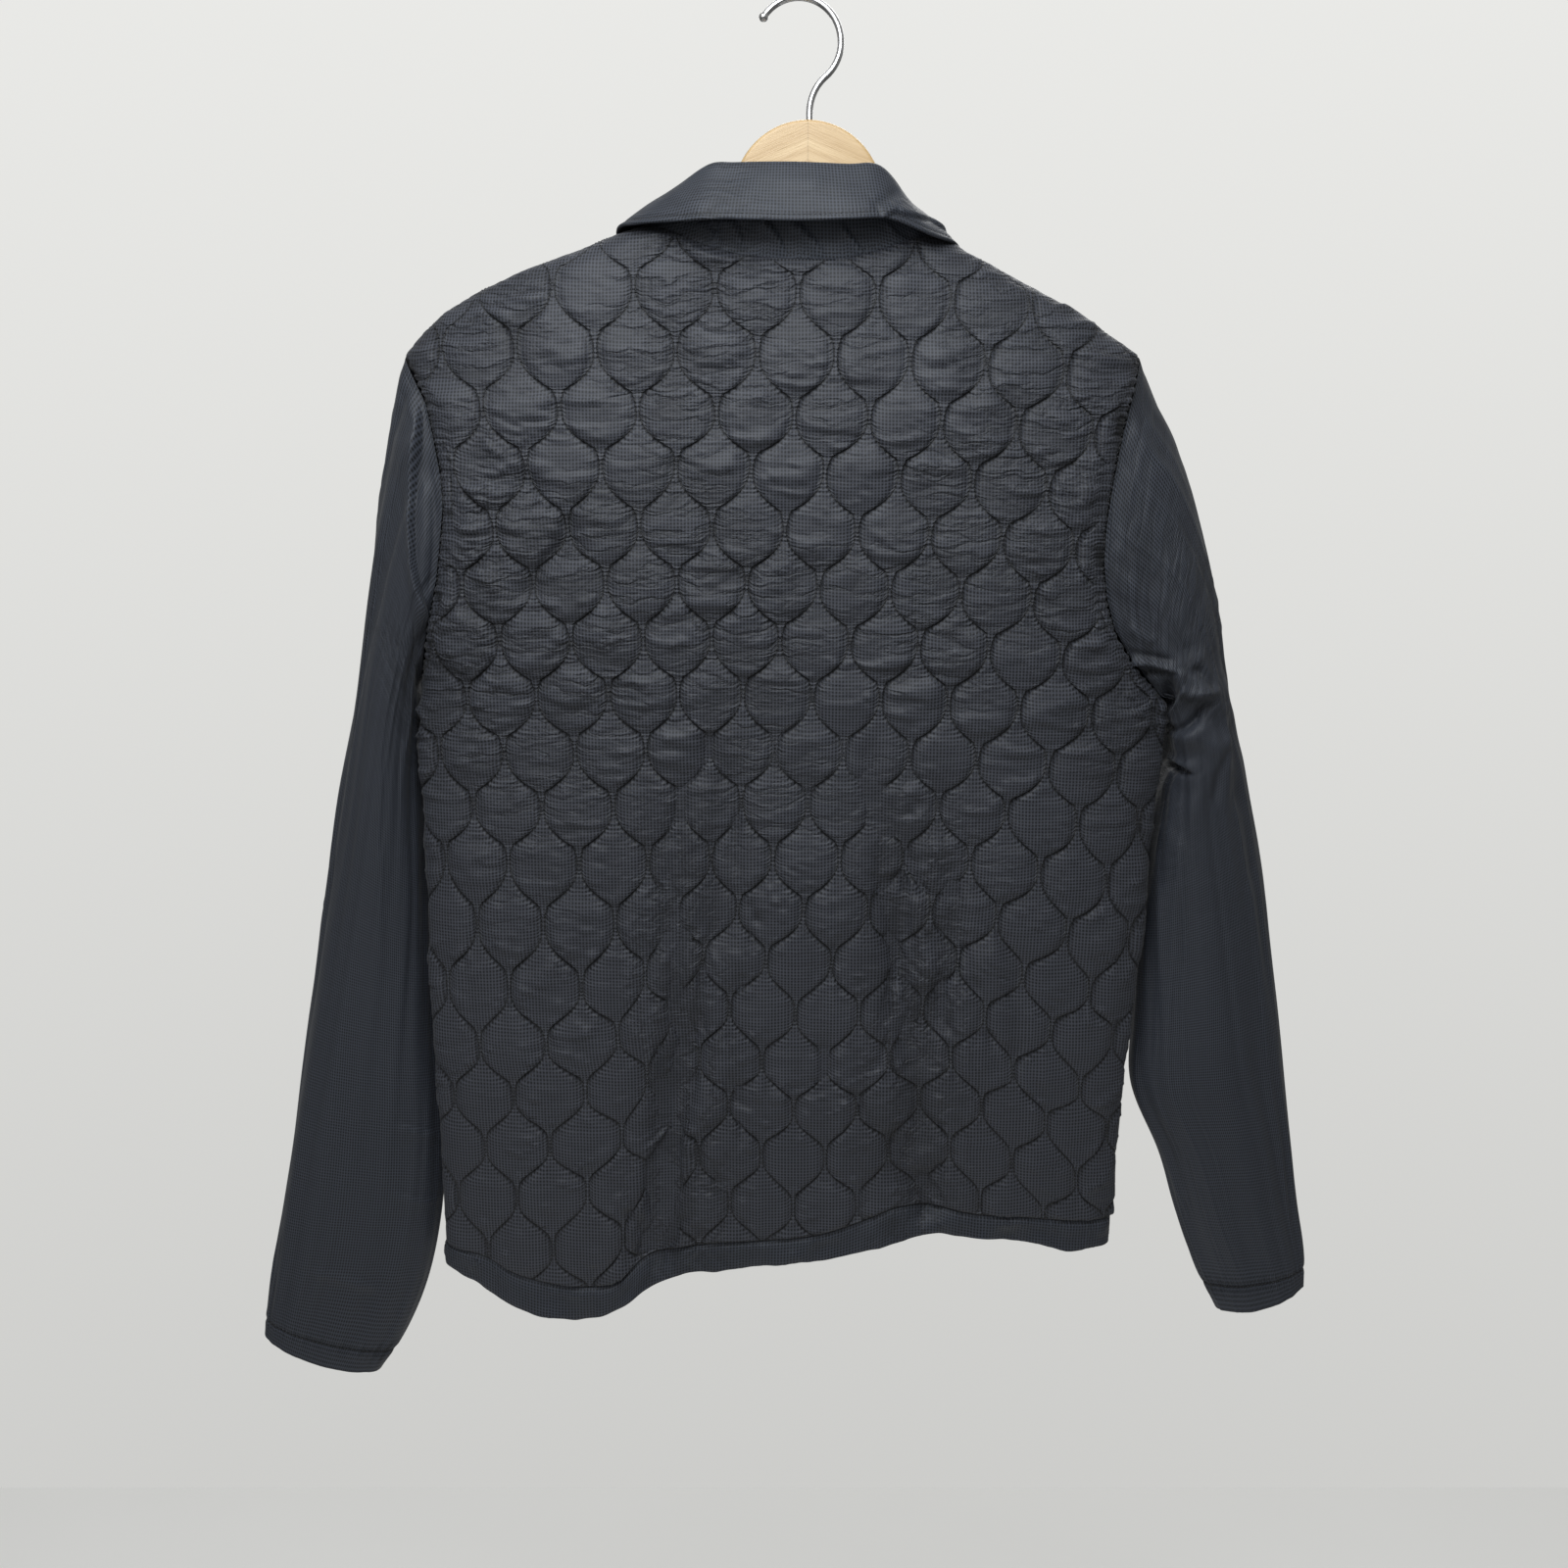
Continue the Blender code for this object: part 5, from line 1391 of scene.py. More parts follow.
# ---- Collar
@dataclass
class Collar:
    """A stand sewn to the neck, and a fall that turns down over it.

    Attributes:
        table: seam x, roll x y z, fall edge x y z, from the left front round the back.
        neck_points: stations at the two shoulder seams.
        thick: thickness of both parts.
        tuck: how far the stand's foot goes below the seam and inside the panels.
        top: how far below the roll the fall is sewn on.
        reach: the fall turns over within this distance.
        stations: points along the collar.
        edge_stitch: height of the fall's stitching over its edge.
        foot_stitch: height of the stand's stitching over the seam.
        quilt_wall: thickness of the panel under the seam.
        stand_folds: listed creases on the back of the stand.
        fall_folds: the same on the fall.
    """

    table: Rows = (
        (-14, -17, 41, -189, -52, 50, -248), (-44, -41, 39, -166, -82, 49, -212),
        (-72, -60, 33, -138, -101, 42, -168), (-89, -70, 18, -121, -108, 26, -139),
        (-94, -72, -2, -117, -108, -6, -129), (-84, -66, -18, -111, -95, -27, -131),
        (-57, -50, -27, -100, -66, -42, -132), (-41, -35, -29, -99, -42, -47, -132),
        (-5, -4, -31, -99, -4, -49, -133), (30, 27, -30, -100, 30, -48, -132),
        (52, 46, -26, -100, 52, -42, -131), (75, 61, -17, -114, 77, -31, -138),
        (84, 67, -2, -122, 95, -7, -140), (80, 65, 18, -128, 97, 26, -148),
        (62, 52, 33, -142, 90, 42, -172), (34, 30, 39, -168, 70, 49, -214),
        (10, 10, 37, -186, 40, 45, -250))
    neck_points: tuple[int, int] = (4, 12)
    thick: float = 2.0
    tuck: tuple[float, float] = (1.6, 1.95)
    top: float = 5.5
    reach: float = 5.0
    stations: int = 460
    edge_stitch: float = 3.0
    foot_stitch: float = 3.2
    quilt_wall: float = 1.2
    stand_folds: Rows = (
        (-58, -131, -40, -147, 2.6, 3, 1), (-42, -128, -33, -142, 2.2, 3, 1),
        (-23, -128, -9, -146, 3, 3.5, 1), (-4, -131, 15, -150, 3, 3.5, 1), (26, -134, 39, -149, 3, 3.5, 1),
        (52, -132, 66, -141, 2.2, 3, 1))
    fall_folds: Rows = (
        (93, -133, 77, -127, 2.6, 9, 1), (77, -127, 56, -126, 2.8, 9, 1), (56, -126, 48, -131, 2.2, 6, 1),
        (43, -125, 57, -113, -1.4, 3.5), (60, -112, 80, -124, -1, 3), (-20, -103, -30, -128, 0.7, 7),
        (-74, -112, -52, -129, 0.9, 7), (12, -100, 6, -116, 0.6, 5))

    def lines(self) -> tuple[Array, Array, Array, Array, Array]:
        """Seam, roll and fall edge as smooth lines, with the directions up and outward."""
        table = np.array(self.table, dtype=float)
        at = np.linspace(0, len(table) - 1, self.stations)
        read = through(table, at)
        roll, edge = read[:, 1:4], read[:, 4:7]
        first, last = self.neck_points
        seam_x = np.clip(read[:, 0], table[first, 0], table[last, 0])
        lines = []
        for half in (BACK_HALF, FRONT_HALF):
            height = half.neck(seam_x)
            deep = half.depth(seam_x, height) - self.quilt_wall / 2
            lines.append(stacked(seam_x, half.face.value * deep, height))
        seam = np.where(((at >= first) & (at <= last))[:, None], lines[0], lines[1])
        seam[:, 1] += LAP.lift(seam_x) * (at < first)
        up = unit(roll - seam)
        out = edge - roll
        out = unit(out - up * np.sum(out * up, axis=1)[:, None])
        return seam, roll, edge, up, out

    def stand(self, finish: Finish, thread: Finish) -> None:
        """Makes the stand, from below the roll to inside the neck seam, and its stitching.

        Args:
            finish: the cloth, a lighter copy that paints light onto the stand in the fall's shadow.
            thread: the sewing thread.
        """
        seam, roll, edge, up, out = self.lines()
        run = lengths(edge)
        deep, inside = self.tuck
        low = seam - up * deep - out * inside
        high = roll - up * (self.top + 3 * SEAM_GAP)
        down = np.linspace(0, 1, 14)[:, None]
        spine = high + (low - high) * down[..., None]
        pull = creases(run / 12 + 2.5 * down, down * 1.2, 81) + 0.5 * noise(run / 30, down * 1.5, 83)
        pull += strokes(spine[..., 0], spine[..., 2], self.stand_folds) * (spine[..., 1] < -8)
        spine = spine + out * (pull * np.sin(math.pi * down))[..., None]
        spine[0] -= up * 0.8
        half = np.full(spine.shape[:2], self.thick / 2)
        made = strip(spine, grid_normals(spine, out), half, run).make("collar_stand", finish)
        row = seam + up * self.foot_stitch - out * (inside - 1.2)
        foot = sewn(row, out).make("collar_stand_stitches", thread, False)

    def fall(self, finish: Finish, thread: Finish) -> None:
        """Makes the fall, up over the roll and down to its edge, and its stitching.

        Args:
            finish: the cloth.
            thread: the sewing thread.
        """
        _, roll, edge, up, out = self.lines()
        run = lengths(edge)
        knots = [roll + up * rise + out * reach for rise, reach in
                 ((-self.top, 0), (-1.2, 0.5), (0, 2.8), (-1.6, self.reach))]
        start, turned = knots[-1], 12
        for share in (0.33, 0.67, 1.0):
            knots.append(start + (edge - start) * share + out * 1.2 * math.sin(math.pi * share))
        at = np.concatenate([np.linspace(0, 3, turned + 1)[:-1], np.linspace(3, 6, 26)])
        spine = through(np.array(knots), at)
        fallen = ramp((at - 2.5) / 2)[:, None]
        to_stitch = np.linalg.norm(spine - edge, axis=2) - self.edge_stitch
        swell = noise(run / 42, at[:, None] / 3, 87)
        drag = strokes(spine[..., 0], spine[..., 2], self.fall_folds) * (spine[..., 1] < -4)
        spine = spine + out * (fallen * (swell + drag))[..., None]
        facing = grid_normals(spine, out * fallen[..., None])
        half = self.thick / 2 - 0.45 * fallen * bell(to_stitch, 1.1)
        shell = strip(spine, facing, half, run, np.abs(to_stitch), 0.3, 2.5)
        fall = shell.make("collar_fall", finish)
        row, j = np.argmin(np.abs(to_stitch[turned:]), axis=0) + turned, np.arange(len(run))
        lift = facing[row, j] * half[row, j][:, None]
        sewing = sewn(spine[row, j] + lift, facing[row, j]).make("collar_fall_stitches", thread, False)


# ---- Snaps
@dataclass
class Snap:
    """A domed snap cap with a rolled rim.

    Attributes:
        number: counted from the neck.
        level: its height.
        radius: half its width.
        height: how far it stands up.
        lift: over the cloth's highest point below it.
        profile: shares of the radius and of the height, from the foot to the middle.
    """

    number: int
    level: float
    radius: float = 7.5
    height: float = 3.2
    lift: float = 1.0
    profile: Rows = ((0.05, 0.0), (0.8, 0.0), (0.97, 0.05), (1.0, 0.18), (0.99, 0.36), (0.93, 0.5),
                     (0.86, 0.52), (0.8, 0.46), (0.74, 0.5), (0.66, 0.68), (0.5, 0.86), (0.3, 0.97),
                     (0.05, 1.0))

    def build(self, finish: Finish) -> None:
        """Makes the cap: its profile turned round the y axis.

        Args:
            finish: the metal.
        """
        reach = np.linspace(-self.radius, self.radius, 5) * 1.5
        under = np.concatenate([FRONT_HALF.depth(LAP.centre + reach, self.level + 0 * reach),
                                FRONT_HALF.depth(LAP.centre + 0 * reach, self.level + reach)])
        y = float(np.max(under)) + LAP.step + self.lift
        profile = np.array(self.profile) * (self.radius, self.height)
        knots = through(profile, np.linspace(0, len(profile) - 1, 49))
        angle = np.linspace(0, 2 * math.pi, 48, endpoint=False)
        rings = stacked(LAP.centre + knots[:, :1] * np.cos(angle), y + knots[:, 1:],
                        self.level + knots[:, :1] * np.sin(angle))
        shell = loft(rings, ring_uv(rings, lengths(knots)), False)
        name = f"snap_{self.number}"
        shell.make(name, finish)


# ---- Hanger
@dataclass
class Hanger:
    """A flat wooden board with a dome and two arms, and a wire hook.

    Attributes:
        middle: x of the board's middle.
        tilt: how far it leans, in degrees.
        thick: the board's thickness.
        rounding: radius of its edges.
        dome: radius of the dome, and height of its top.
        root: reach from the stem and height of the arm's top edge.
        arm: length of an arm, its slope, and the slope gained for each millimetre.
        heights: of the arm at its root and at its tip.
        notch: how far the lower edge rises in the middle.
        wire: half the wire's thickness.
        bend: radius of the hook's bend.
        turns: angles where the bend starts and ends.
        stem: x of the straight stem.
        bead: how much thicker the point is.
    """

    middle: float = 5.5
    tilt: float = -3.0
    thick: float = 12.0
    rounding: float = 2.4
    dome: tuple[float, float] = (45.0, -67.5)
    root: tuple[float, float] = (64.0, -134.0)
    arm: tuple[float, float, float] = (112.0, 0.42, 0.00026)
    heights: tuple[float, float] = (46.0, 25.0)
    notch: float = 12.0
    wire: float = 2.0
    bend: float = 25.0
    turns: tuple[float, float] = (152.0, -50.0)
    stem: float = 6.5
    bead: float = 1.4

    def outline(self) -> tuple[Array, Array]:
        """Top and lower edge of the right half, x and z, from the middle to the tip."""
        radius, dome_top = self.dome
        root_x, root_z = self.root
        long, slope, bow = self.arm
        root_high, tip_high = self.heights
        angle = np.linspace(0, math.radians(72), 40)
        dome = stacked(radius * np.sin(angle), dome_top - radius + radius * np.cos(angle))
        reach = np.linspace(0, long, 50)
        top = stacked(root_x + reach, root_z - slope * reach - bow * reach ** 2)
        lean = np.array((math.cos(angle[-1]), -math.sin(angle[-1]))) * 34
        away = np.array((1.0, -slope)) * 22
        neck = hermite(np.linspace(0, 1, 14)[1:-1, None], dome[-1], top[0], lean, away)
        turn = np.linspace(0.4, math.pi, 22)
        tip = top[-1] + stacked(np.sin(turn), np.cos(turn) - 1) * tip_high / 2
        share = np.linspace(1, 0, 50)[1:]
        low = stacked(root_x + share * long, root_z - slope * share * long - bow * (share * long) ** 2
                      - root_high * (1 - share) - tip_high * share)
        step = np.linspace(0, 1, 30)[1:]
        inner = stacked(root_x * (1 - step), low[-1, 1] + self.notch * ramp(step) ** 0.9)
        half = len(tip) // 2
        return (np.concatenate([dome, neck, top, tip[:half]]),
                np.concatenate([tip[half:], low, inner])[::-1])

    def turned(self, line: Array) -> Array:
        """Leans a flat outline about the dome's centre and moves it to its place."""
        lean = math.radians(self.tilt)
        centre = self.dome[1] - self.dome[0]
        x, dz = line[:, 0], line[:, 1] - centre
        return stacked(x * math.cos(lean) - dz * math.sin(lean) + self.middle,
                       x * math.sin(lean) + dz * math.cos(lean) + centre)

    def board(self, finish: Finish) -> None:
        """Makes the board: its outline carried through the thickness, with round edges.

        Args:
            finish: the wood.
        """
        top, low = self.outline()
        mirror = np.array((-1.0, 1.0))
        upper = self.turned(np.concatenate([(top * mirror)[::-1], top[1:]]))
        lower = self.turned(np.concatenate([(low * mirror)[::-1], low[1:]]))
        loop = np.concatenate([upper, lower[::-1]])
        along = unit(np.roll(loop, -1, axis=0) - np.roll(loop, 1, axis=0))
        inward = stacked(along[:, 1], -along[:, 0])
        angle = np.linspace(0, math.pi / 2, 7)
        inset = self.rounding * (1 - np.sin(angle))
        side = self.thick / 2 - self.rounding * (1 - np.cos(angle))
        insets, sides = np.append(inset, inset[::-1]), np.append(-side, side[::-1])
        flat = loop + inward * insets[:, None, None]
        rings = stacked(flat[..., 0], sides[:, None], flat[..., 1])
        count = len(loop)
        faces = grid_faces(len(rings), count, ring=True)
        first = np.arange(len(upper))
        second = np.arange(count - 1, len(upper) - 1, -1)
        shift = (len(rings) - 1) * count
        cap = zip_runs(first, second, *(np.linspace(0, 1, len(line)) for line in (first, second)))
        faces = np.concatenate([faces, cap[:, ::-1], cap + shift])
        Shell(rings.reshape(-1, 3), faces).make("hanger_body", finish)

    def hook(self, finish: Finish) -> None:
        """Makes the hook: a round wire along its bend, with a bead at the point.

        Args:
            finish: the metal.
        """
        start, end = (math.radians(turn) for turn in self.turns)
        centre_z = self.wire - self.bend
        angle = np.linspace(start, end, 90)
        bend = stacked(self.bend * np.cos(angle), centre_z + self.bend * np.sin(angle))
        end_x, end_z = bend[-1]
        second = (end_x - self.stem) / (1 - math.cos(end))
        back = np.linspace(end, 0, 36)[1:]
        crook = stacked(self.stem + second * (1 - np.cos(back)),
                        end_z - second * (np.sin(back) - math.sin(end)))
        foot = stacked(self.stem, np.linspace(crook[-1, 1], self.dome[1] + 0.5, 13)[1:])
        path = np.concatenate([bend, crook, foot])
        run = lengths(path)
        bead = np.sqrt(np.clip(1 - ((run - 2.6) / 2.7) ** 2, 0, 1)) * self.bead
        size = self.wire * np.where(run < 5.0, np.maximum(bead, ramp((run - 3) / 2)), 1.0)
        along = unit(np.gradient(path, axis=0))
        across = stacked(-along[:, 1], along[:, 0])
        turn = np.linspace(0, 2 * math.pi, 28, endpoint=False)
        flat = path[:, None, :] + across[:, None, :] * (size[:, None] * np.cos(turn))[..., None]
        rings = stacked(flat[..., 0], size[:, None] * np.sin(turn), flat[..., 1])
        loft(rings, ring_uv(rings, run), False).make("hanger_hook", finish)


# ---- Finishes
Socket = bpy.types.NodeSocket
Colour = tuple[float, float, float]


def lighter(colour: Colour, share: float) -> Colour:
    """The colour times the share, up to white."""
    return tuple(min(1.0, part * share) for part in colour)


class Graph:
    """The nodes of one material or world, with short calls to add and join them."""

    def __init__(self, owner: Finish | bpy.types.World, shader: str = "Principled BSDF") -> None:
        """Starts from the owner's own shader."""
        owner.use_nodes = True
        self.owner, self.tree = owner, owner.node_tree
        self.shader = self.tree.nodes[shader]

    @classmethod
    def of_slot(cls, slot: str, name: str = "finish") -> Graph:
        """The graph of a new material for the slot."""
        material = bpy.data.materials.new(f"{slot}_{name}")
        material["slot"] = slot
        return cls(material)

    def node(self, kind: str, inputs: dict[str, object] | None = None, **settings: object) -> bpy.types.Node:
        """Adds a node, sets its properties and feeds its inputs."""
        made = self.tree.nodes.new(f"ShaderNode{kind}")
        for key, value in settings.items():
            setattr(made, key, value)
        for key, value in (inputs or {}).items():
            self.feed(made.inputs[key], value)
        return made

    def feed(self, socket: Socket, value: object) -> None:
        """Links a socket to the input, or sets its value."""
        if isinstance(value, bpy.types.NodeSocket):
            self.tree.links.new(value, socket)
        else:
            socket.default_value = value

    def sum(self, operation: str, *values: object) -> Socket:
        """A Math node's result."""
        made = self.node("Math", operation=operation)
        for socket, value in zip(made.inputs, values):
            self.feed(socket, value)
        return made.outputs[0]

    def times(self, first: object, second: object) -> Socket:
        """The product of two numbers."""
        return self.sum("MULTIPLY", first, second)

    def kept(self, part: Socket, share: object) -> Socket:
        """What is left when a share of the part is taken from 1."""
        return self.sum("SUBTRACT", 1.0, self.times(part, share))

    def ranged(self, value: Socket, low: float, high: float, start: float = 0.0, end: float = 1.0,
               **settings: object) -> Socket:
        """The value moved from low and high to start and end, and held at the two ends."""
        inputs = {"Value": value, "From Min": low, "From Max": high, "To Min": start, "To Max": end}
        return self.node("MapRange", inputs, **settings).outputs[0]

    def mix(self, share: object, first: object, second: object, blend: str = "MIX") -> Socket:
        """Two colours mixed by a share."""
        made = self.node("Mix", {"Factor": share}, data_type="RGBA", blend_type=blend)
        for socket, value in zip(made.inputs[6:8], (first, second)):
            self.feed(socket, (*value, 1.0) if isinstance(value, tuple) else value)
        return made.outputs[2]

    def place(self) -> Socket:
        """Object coordinates."""
        return self.node("TexCoord").outputs["Object"]

    def parts(self, vector: Socket) -> list[Socket]:
        """A vector's three numbers."""
        return list(self.node("SeparateXYZ", {"Vector": vector}).outputs)

    def vector(self, x: Socket, y: Socket, z: object = 0.0) -> Socket:
        """Three numbers as a vector."""
        return self.node("CombineXYZ", {"X": x, "Y": y, "Z": z}).outputs[0]

    def scaled(self, vector: Socket, *scale: float) -> Socket:
        """A vector times three scales."""
        return self.node("Mapping", {"Vector": vector, "Scale": scale}).outputs[0]

    def noise(self, vector: Socket, scale: float = 1.0, detail: float = 3.0) -> Socket:
        """Height of a noise texture."""
        return self.node("TexNoise", {"Vector": vector, "Scale": scale, "Detail": detail}).outputs[0]

    def bump(self, height: Socket, depth: float, under: Socket | None = None) -> Socket:
        """Normal of a height field whose full height is the depth in metres."""
        inputs = {"Height": height, "Distance": depth} | ({"Normal": under} if under else {})
        return self.node("Bump", inputs).outputs[0]

    def finish(self, **sockets: object) -> Finish | bpy.types.World:
        """Feeds the shader's own sockets, whose spaces are written as underscores."""
        for key, value in sockets.items():
            value = (*value, 1.0) if isinstance(value, tuple) and len(value) == 3 else value
            self.feed(self.shader.inputs[key.replace("_", " ")], value)
        return self.owner


@dataclass(frozen=True)
class Ripstop:
    """Thin cloth with a small check, puckered along its stitching, with painted shade along the stitching,
    in hollows and along fine folds.

    Attributes:
        name: the material slot.
        colour: of the cloth.
        ticks: cloth coordinate that the puckers follow: 0 along the piece, 1 up it.
        creased: depth of the fine creases, in millimetres.
        pitch: of the check, in millimetres.
        dots: how dark the squares between the grid's lines are.
        lines: how much darker the upright bands are.
        weave: depth of the check, in millimetres.
        ruffle: depth of the puckers, and length of one, in millimetres.
        slanting: fine folds across the cloth, in cells a metre along and up it.
        hanging: the same for the upright folds low on the body.
        hung_at: distance of those from the middle, in metres.
    """

    name: str
    colour: Colour
    ticks: int
    creased: float = 1.0
    pitch: float = 2.05
    dots: float = 0.95
    lines: float = 0.25
    weave: float = 0.05
    ruffle: tuple[float, float] = (0.9, 2.6)
    slanting: tuple[float, float] = (18.0, 105.0)
    hanging: tuple[float, float] = (70.0, 15.0)
    hung_at: float = 0.072

    def folds(self, g: Graph, cloth: list[Socket], at: list[Socket], cloud: Socket, wide: Socket) -> Socket:
        """Fine folds, along the edges of bent Voronoi cells.

        Args:
            g: the material's nodes.
            cloth: cloth coordinates.
            at: Object coordinates.
            cloud: slow noise that thins the slanting folds out.
            wide: noise that bends them all.

        Returns:
            1 on flat cloth and less towards a fold's line; the finish bumps the cloth with it and paints
            shade along it.
        """
        some = g.times(g.ranged(cloud, 0.36, 0.52), g.ranged(at[2], -0.60, -0.42))
        aside = g.sum("ABSOLUTE", g.sum("SUBTRACT", g.sum("ABSOLUTE", at[0]), self.hung_at))
        hung = g.times(g.ranged(aside, 0.012, 0.05, 0.9, 0.0), g.ranged(at[2], -0.50, -0.42, 1.0, 0.0))
        fold = 1.0
        for (u, v), share in ((self.slanting, some), (self.hanging, hung)):
            bent = g.vector(g.sum("MULTIPLY_ADD", cloth[0], u, g.times(wide, u / 30)),
                            g.sum("MULTIPLY_ADD", cloth[1], v, g.times(wide, v / 42)))
            cells = g.node("TexVoronoi", {"Vector": bent, "Scale": 1.0}, feature="DISTANCE_TO_EDGE")
            edge = g.ranged(cells.outputs["Distance"], 0.0, 0.22)
            fold = g.times(fold, g.kept(g.kept(edge, 1.0), share))
        return fold

    def make(self) -> Finish:
        """Builds the nodes: check, painted shade along the seams, in hollows and along the fine folds,
        puckers beside the seams, and fine folds as bumps.
        """
        g = Graph.of_slot(self.name)
        uv = g.node("UVMap", uv_map="cloth").outputs[0]
        cloth = g.parts(uv)
        turns = 2 * math.pi / (self.pitch * MM)
        across, up = (g.sum("MULTIPLY_ADD", g.sum("COSINE", g.times(cloth[k], turns)), 0.5, 0.5)
                      for k in (0, 1))
        check = g.sum("POWER", g.times(across, up), 0.6)
        seam, pucker = (g.node("Attribute", attribute_name=mark).outputs["Fac"] for mark in MARK_REST)
        place = g.place()
        cloud = g.noise(place, 9.0, 4.0)
        wide = g.noise(g.scaled(uv, 48.0, 120.0, 1.0), detail=4.0)
        fold = self.folds(g, cloth, g.parts(place), cloud, wide)
        # Painted shade: the colour darkens towards the stitch lines, standing in for the shade in their
        # grooves.
        near = g.ranged(seam, 0.1, 0.9, 0.7, 0.0, interpolation_type="SMOOTHSTEP")
        dark = g.times(g.kept(check, self.dots), g.kept(across, self.lines))
        dark = g.times(dark, g.kept(near, 1.0))
        # Painted shade: darker where the surface is hollow (Pointiness) and along the fine folds' lines.
        hollow_shade = g.ranged(g.node("NewGeometry").outputs["Pointiness"], 0.40, 0.51, 0.5, 1.05)
        dark = g.times(dark, g.times(hollow_shade, g.sum("MULTIPLY_ADD", fold, 0.32, 0.68)))
        check_and_shade = g.node("CombineColor", {"Red": dark, "Green": dark, "Blue": dark}).outputs[0]
        colour = g.mix(1.0, g.mix(cloud, self.colour, lighter(self.colour, 1.2)), check_and_shade, "MULTIPLY")
        deep, long = self.ruffle
        ripple = g.noise(g.scaled(uv, 120.0, 160.0, 1.0), detail=2.0)
        tick = g.sum("MULTIPLY_ADD", cloth[self.ticks], 2 * math.pi / (long * MM), g.times(ripple, 9.0))
        tick = g.sum("MULTIPLY_ADD", g.sum("SINE", tick), 0.25, ripple)
        ruffled = g.bump(g.times(tick, pucker), deep * MM, g.bump(check, self.weave * MM))
        normal = g.bump(g.sum("MULTIPLY_ADD", fold, 0.8, wide), self.creased * MM, ruffled)
        rough = g.sum("MULTIPLY_ADD", cloud, 0.12, 0.52)
        return g.finish(Base_Color=colour, Roughness=rough, Normal=normal, Sheen_Weight=0.06,
                        Sheen_Roughness=0.45, Specular_IOR_Level=0.35)


@dataclass(frozen=True)
class Thread:
    """Polyester sewing thread."""

    # The thread's own dark colour, darkened further as painted shade of the groove that it sits in.
    colour: Colour = (0.020, 0.021, 0.025)

    def make(self) -> Finish:
        """Builds the nodes: a fine twist on a plain dark colour."""
        g = Graph.of_slot("plain_ripstop", "thread")
        twist = g.node("TexWave", {"Vector": g.place(), "Scale": 900.0, "Distortion": 1.0})
        colour = g.mix(twist.outputs["Fac"], self.colour, lighter(self.colour, 1.5))
        return g.finish(Base_Color=colour, Roughness=0.6, Sheen_Weight=0.1)


@dataclass(frozen=True)
class PaleWood:
    """Varnished pale wood whose grain follows the two arms and meets in a mitre.

    Attributes:
        light: colour between the rings.
        dark: colour of the rings.
        middle: x of the mitre, in metres.
        slope: fall of the arms.
    """

    light: Colour = (0.60, 0.43, 0.225)
    dark: Colour = (0.45, 0.29, 0.125)
    middle: float = 0.0055
    slope: float = 0.42

    def make(self) -> Finish:
        """Builds the nodes: long grain and pores on Object coordinates folded at the mitre."""
        g = Graph.of_slot("pale_wood")
        x, y, z = g.parts(g.place())
        away = g.sum("ABSOLUTE", g.sum("SUBTRACT", x, self.middle))
        scale = 1 / math.hypot(1, self.slope)
        along = g.times(g.sum("SUBTRACT", away, g.times(z, self.slope)), scale)
        across = g.times(g.sum("ADD", z, g.times(away, self.slope)), scale)
        grain = g.vector(along, across, y)
        rings = g.noise(g.scaled(grain, 9.0, 150.0, 60.0), detail=4.0)
        pores = g.noise(g.scaled(grain, 60.0, 1500.0, 900.0), detail=2.0)
        colour = g.mix(g.ranged(rings, 0.36, 0.64), self.light, self.dark)
        colour = g.mix(g.ranged(pores, 0.52, 0.72, 0.0, 0.5), colour, lighter(self.dark, 0.82))
        colour = g.mix(g.ranged(away, 0.0001, 0.0006, 0.3, 0.0), colour, lighter(self.dark, 0.5))
        normal = g.bump(g.sum("ADD", rings, pores), 0.0002)
        return g.finish(Base_Color=colour, Roughness=g.sum("MULTIPLY_ADD", pores, 0.15, 0.36),
                        Normal=normal, Coat_Weight=0.25, Coat_Roughness=0.3)


@dataclass(frozen=True)
class Metal:
    """Plated or lacquered metal with faint scratches.

    Attributes:
        name: the material slot.
        colour: of the metal.
        rough: roughness between the scratches.
        metallic: 1 for bare metal.
    """

    name: str
    colour: Colour
    rough: float
    metallic: float = 1.0

    def make(self) -> Finish:
        """Builds the nodes: smudges in the roughness and a very fine uneven surface."""
        g = Graph.of_slot(self.name)
        place = g.place()
        smudge = g.noise(place, 160.0)
        return g.finish(Base_Color=g.mix(smudge, self.colour, lighter(self.colour, 1.15)),
                        Metallic=self.metallic, Roughness=g.sum("MULTIPLY_ADD", smudge, 0.14, self.rough),
                        Normal=g.bump(g.noise(place, 900.0, 2.0), 0.00002))


# ---- Studio
@dataclass(frozen=True)
class Lamp:
    """A square light that faces a point.

    Attributes:
        name: of the light.
        place: where it stands, in metres.
        target: the point that it faces.
        size: of its side.
        power: in watts.
        colour: of its light.
    """

    name: str
    place: Colour
    target: Colour
    size: float
    power: float
    colour: Colour = (1.0, 1.0, 1.0)

    def build(self) -> None:
        """Makes the light."""
        data = bpy.data.lights.new(self.name, "AREA")
        data.shape, data.size, data.energy, data.color = "SQUARE", self.size, self.power, self.colour
        made = bpy.data.objects.new(self.name, data)
        made.location = self.place
        away = np.subtract(self.place, self.target)
        made.rotation_euler = (math.atan2(math.hypot(away[0], away[1]), away[2]), 0,
                               math.atan2(away[1], away[0]) + math.pi / 2)
        bpy.context.scene.collection.objects.link(made)


